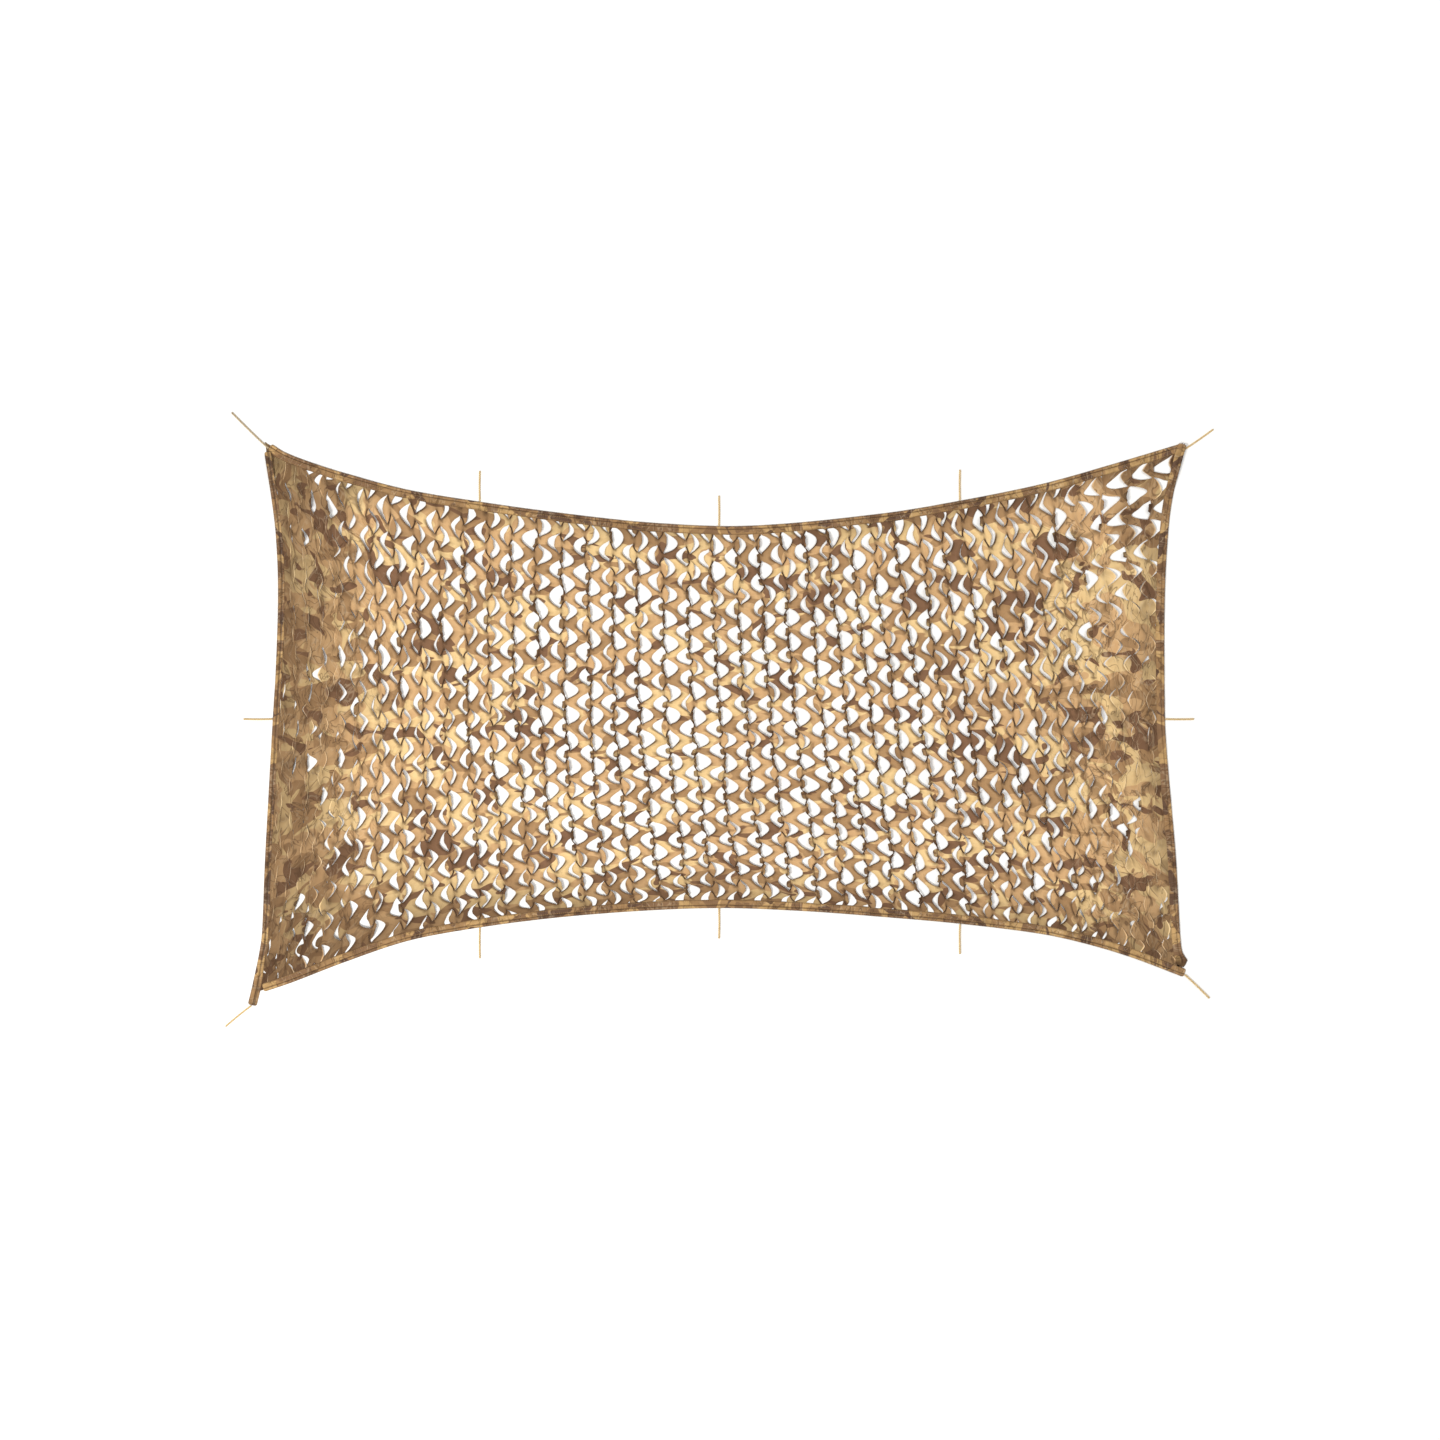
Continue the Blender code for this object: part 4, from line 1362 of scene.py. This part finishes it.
# ---------------------------------------------------------------- the ties
@dataclass
class Tie:
    """A short three-strand cord that lies nearly straight on the surface, with a bare end."""

    name: str
    start: Vector
    direction: Vector
    length: float
    bow: float
    finish: bpy.types.Material
    diameter: float = 0.006
    axis_height: float = 0.00305
    strands: int = 3
    sides: int = 8
    lay: float = 0.021  # the length of one turn of the strands
    step: float = 0.0015
    plump: float = 1.04  # how far the strands press into each other
    end_share: float = 0.35  # of a strand's thickness, at its ends
    route_points: int = 16

    def path(self, count: int) -> Array:
        """Points along the middle of the cord.

        Args:
            count: how many.

        Returns:
            Their places, as (count, 3).
        """
        share = np.linspace(0, 1, count)[:, None]
        run = np.array(self.direction)
        across = np.array((-run[1], run[0]))
        aside = self.bow * np.sin(np.pi * share) * (1 - 0.4 * share)
        flat = np.array(self.start) + run * self.length * share + across * aside
        return np.concatenate((flat, np.full((count, 1), self.axis_height)), axis=1)

    def make(self) -> Piece:
        """Builds the twisted strands.

        Returns:
            The piece.
        """
        work = Patchwork()
        count = round(self.length / self.step) + 1
        middle = self.path(count)
        along = np.gradient(middle, axis=0)
        along /= np.linalg.norm(along, axis=1)[:, None]
        across = np.stack((-along[:, 1], along[:, 0], np.zeros(count)), axis=1)
        up = np.array((0.0, 0.0, 1.0))
        radius = self.diameter / 2
        strand = radius / (1 + 2 / math.sqrt(3))
        share, number = np.linspace(0, 1, count), np.arange(count)
        turn = 2 * np.pi * share * self.length / self.lay
        around = np.linspace(0, 2 * np.pi, self.sides + 1)[None, :, None]
        out = np.cos(around) * across[:, None] + np.sin(around) * up
        end = np.minimum(1.0, self.end_share + np.minimum(number, number[::-1]) / 2)
        for k in range(self.strands):
            angle = (turn + 2 * np.pi * k / self.strands)[:, None]
            centre = middle + (radius - strand) * (np.cos(angle) * across + np.sin(angle) * up)
            points = centre[:, None] + strand * self.plump * end[:, None, None] * out
            away = np.linalg.norm(points - middle[:, None], axis=2) / radius
            # painted shade down between the strands, and darker at the free end
            shade = np.maximum(fade(away, 0.55, 0.95) * 0.8, ramp(share, 0.95, 1.0)[:, None])
            numbers = work.add_points(points, np.zeros(2), shade)
            numbers[:, -1] = numbers[:, 0]
            work.add_tube(numbers, self.sides // 2 + 1)
        return work.make(self.name.replace("tie", "cord"))

    def dress(self) -> Piece:
        """Returns:
            The piece.
        """
        piece = self.make()
        dress_piece(piece, self.finish, Slot.TIE, self.name)
        route = [Vector(p) for p in self.path(self.route_points)]
        tuple(route[0])
        return piece


@dataclass
class Ties:
    """The twelve ties: one at each corner and eight along the sides."""

    plan: NetPlan
    gap: float = 0.0003
    probe: float = 0.01  # the step inwards that tells which way a side faces
    grey_tie: str = "tie_top_left_corner"
    # name, side, place along it, length, bow
    side_rows: tuple[tuple[str, Edge, float, float, float], ...] = (
        ("tie_top_left", Edge.TOP, -0.776, 0.100, 0.0012),
        ("tie_top_middle", Edge.TOP, 0.001, 0.099, -0.0010),
        ("tie_top_right", Edge.TOP, 0.784, 0.100, 0.0010),
        ("tie_bottom_left", Edge.BOTTOM, -0.776, 0.100, -0.0010),
        ("tie_bottom_middle", Edge.BOTTOM, 0.001, 0.099, 0.0012),
        ("tie_bottom_right", Edge.BOTTOM, 0.784, 0.098, -0.0012),
        ("tie_left", Edge.LEFT, 0.014, 0.095, 0.0010),
        ("tie_right", Edge.RIGHT, 0.014, 0.094, -0.0010))
    # name, side, whether at its last end, inset, angle in degrees, length, bow
    corner_rows: tuple[tuple[str, Edge, bool, float, float, float, float], ...] = (
        ("tie_top_left_corner", Edge.TOP, False, 0.018, 135.8, 0.168, 0.0015),
        ("tie_top_right_corner", Edge.TOP, True, 0.021, 34.7, 0.112, -0.0012),
        ("tie_bottom_right_corner", Edge.BOTTOM, True, 0.010, -43.8, 0.112, 0.0012),
        ("tie_bottom_left_corner", Edge.LEFT, False, 0.014, -141.1, 0.108, -0.0015))

    def inwards(self, side: Side, at: float) -> Vector:
        """The direction square to a side and into the net."""
        edge, inner = (Vector(side.place(np.array(at), away)) for away in (0.0, self.probe))
        return (inner - edge).normalized()

    def clear_start(self, start: Vector, direction: Vector, outward: Vector) -> Vector:
        """The start of a tie that leaves a face at a slant, just clear of the face.

        Args:
            start: where its middle line meets the face.
            direction: the way it runs.
            outward: the way the face looks.

        Returns:
            The start.
        """
        cosine = direction.dot(outward)
        sine = math.sqrt(max(0.0, 1 - cosine * cosine))
        return start + direction * ((self.gap + Tie.diameter / 2 * sine) / cosine)

    def dress(self) -> list[Piece]:
        """Builds every tie.

        Returns:
            The pieces.
        """
        straw = CordFinish("straw_cord", "e4c892", "b9995f").make()
        grey = CordFinish("weathered_cord", "cdb996", "9a8460").make()
        rows = []
        for name, which, at, length, bow in self.side_rows:
            side = getattr(self.plan, which.value)
            direction = Vector((0, -side.inwards) if side.along_x else (-side.inwards, 0))
            rows.append((name, side, at, 0.0, direction, -self.inwards(side, at), length, bow))
        for name, which, last, inset, angle, length, bow in self.corner_rows:
            side = getattr(self.plan, which.value)
            at = side.last if last else side.first
            direction = Vector((math.cos(math.radians(angle)), math.sin(math.radians(angle))))
            inwards = self.inwards(side, at)
            outward = Vector((inwards.y, -inwards.x))
            if outward.dot(direction) < 0:
                outward = -outward
            rows.append((name, side, at, inset, direction, outward, length, bow))
        made = []
        for name, side, at, inset, direction, outward, length, bow in rows:
            start = Vector(side.place(np.array(at), inset))
            start = self.clear_start(start, direction, outward)
            finish = grey if name == self.grey_tie else straw
            made.append(Tie(name, start, direction, length, bow, finish).dress())
        return made


# ---------------------------------------------------------------- the stage
@dataclass
class Studio:
    """The floor, the soft lights and the camera, which looks straight down."""

    pixel: float = 0.00325  # one pixel of the photograph, on the floor
    frame_side: int = 1440
    centre: tuple[float, float] = (0.0042, 0.0111)
    lens: float = 85.0
    sensor: float = 36.0
    far_clip: float = 100.0
    floor_side: float = 40.0
    sky: float = 0.60  # the strength of the white light from all round
    # name, place, size, power, tint
    lights: tuple[tuple[str, tuple, float, float, tuple], ...] = (
        ("key", (-4.0, -3.0, 6.5), 3.0, 500.0, (1.0, 0.985, 0.96)),
        ("fill", (4.5, 4.0, 6.5), 5.0, 180.0, (0.99, 0.99, 1.0)))

    def add(self, name: str, data: bpy.types.ID, place: Sequence[float] = (0, 0, 0)) -> Piece:
        """Adds an object to the scene.

        Args:
            name: its name.
            data: its mesh, light or camera.
            place: where it stands.

        Returns:
            The object.
        """
        made = bpy.data.objects.new(name, data)
        made.location = place
        bpy.context.scene.collection.objects.link(made)
        return made

    def add_camera(self) -> None:
        """Adds the camera and makes it the scene's own."""
        data = bpy.data.cameras.new("camera")
        data.lens, data.sensor_width, data.clip_end = self.lens, self.sensor, self.far_clip
        height = self.pixel * self.frame_side * self.lens / self.sensor
        bpy.context.scene.camera = self.add("camera", data, (*self.centre, height))

    def add_lights(self) -> None:
        """Adds square soft lights that face the net, and a white sky."""
        for name, place, size, power, tint in self.lights:
            data = bpy.data.lights.new(name, "AREA")
            data.shape, data.size, data.energy, data.color = "SQUARE", size, power, tint
            light = self.add(name, data, place)
            light.rotation_euler = (Vector(place) * -1).to_track_quat("-Z", "Y").to_euler()
        world = bpy.data.worlds.new("studio")
        world.use_nodes = True
        back = world.node_tree.nodes["Background"]
        back.inputs["Color"].default_value = (1.0, 1.0, 1.0, 1.0)
        back.inputs["Strength"].default_value = self.sky
        bpy.context.scene.world = world

    def add_floor(self) -> None:
        """Adds the floor."""
        half = self.floor_side / 2
        mesh = bpy.data.meshes.new("floor")
        corners = [(-half, -half, 0), (half, -half, 0), (half, half, 0), (-half, half, 0)]
        mesh.from_pydata(corners, [], [(0, 1, 2, 3)])
        mesh.materials.append(PaleFloor().make())
        floor = self.add("floor", mesh)

    def build(self) -> None:
        """Builds the camera, the floor and the lights."""
        self.add_camera()
        self.add_floor()
        self.add_lights()
        bpy.context.scene.view_settings.view_transform = "Standard"


def main() -> None:
    """Builds the studio, the ties, the tapes and the cloth, and reports each piece."""
    logging.basicConfig(level=logging.INFO, format="%(name)s: %(message)s")
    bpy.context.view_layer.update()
    Studio().build()
    plan = NetPlan()
    ties = Ties(plan).dress()
    short = {"crosses": True, "inner_shade": 0.10, "outer_shade": 0.25, "seams": ()}
    tapes = (
        BindingTape("tape_top", plan.top, round_ends=(True, False)),
        BindingTape("tape_bottom", plan.bottom),
        BindingTape("tape_left", plan.left, width=0.021, wider_end=0.36, roll=0.50, **short),
        BindingTape("tape_right", plan.right, roll=0.36, round_ends=(False, True), flare=0.014,
                    overrun=(0.018, 0.007), groove_shade=0.30, end_shade=0.85, **short))
    bound = [tape.dress() for tape in tapes]
    net, leaves = DrawnCloth(plan).dress()
    for piece in (*ties, *bound, net, leaves):
        LOG.info("%s: %d faces", piece.name, len(piece.data.polygons))


if __name__ == "__main__":
    main()
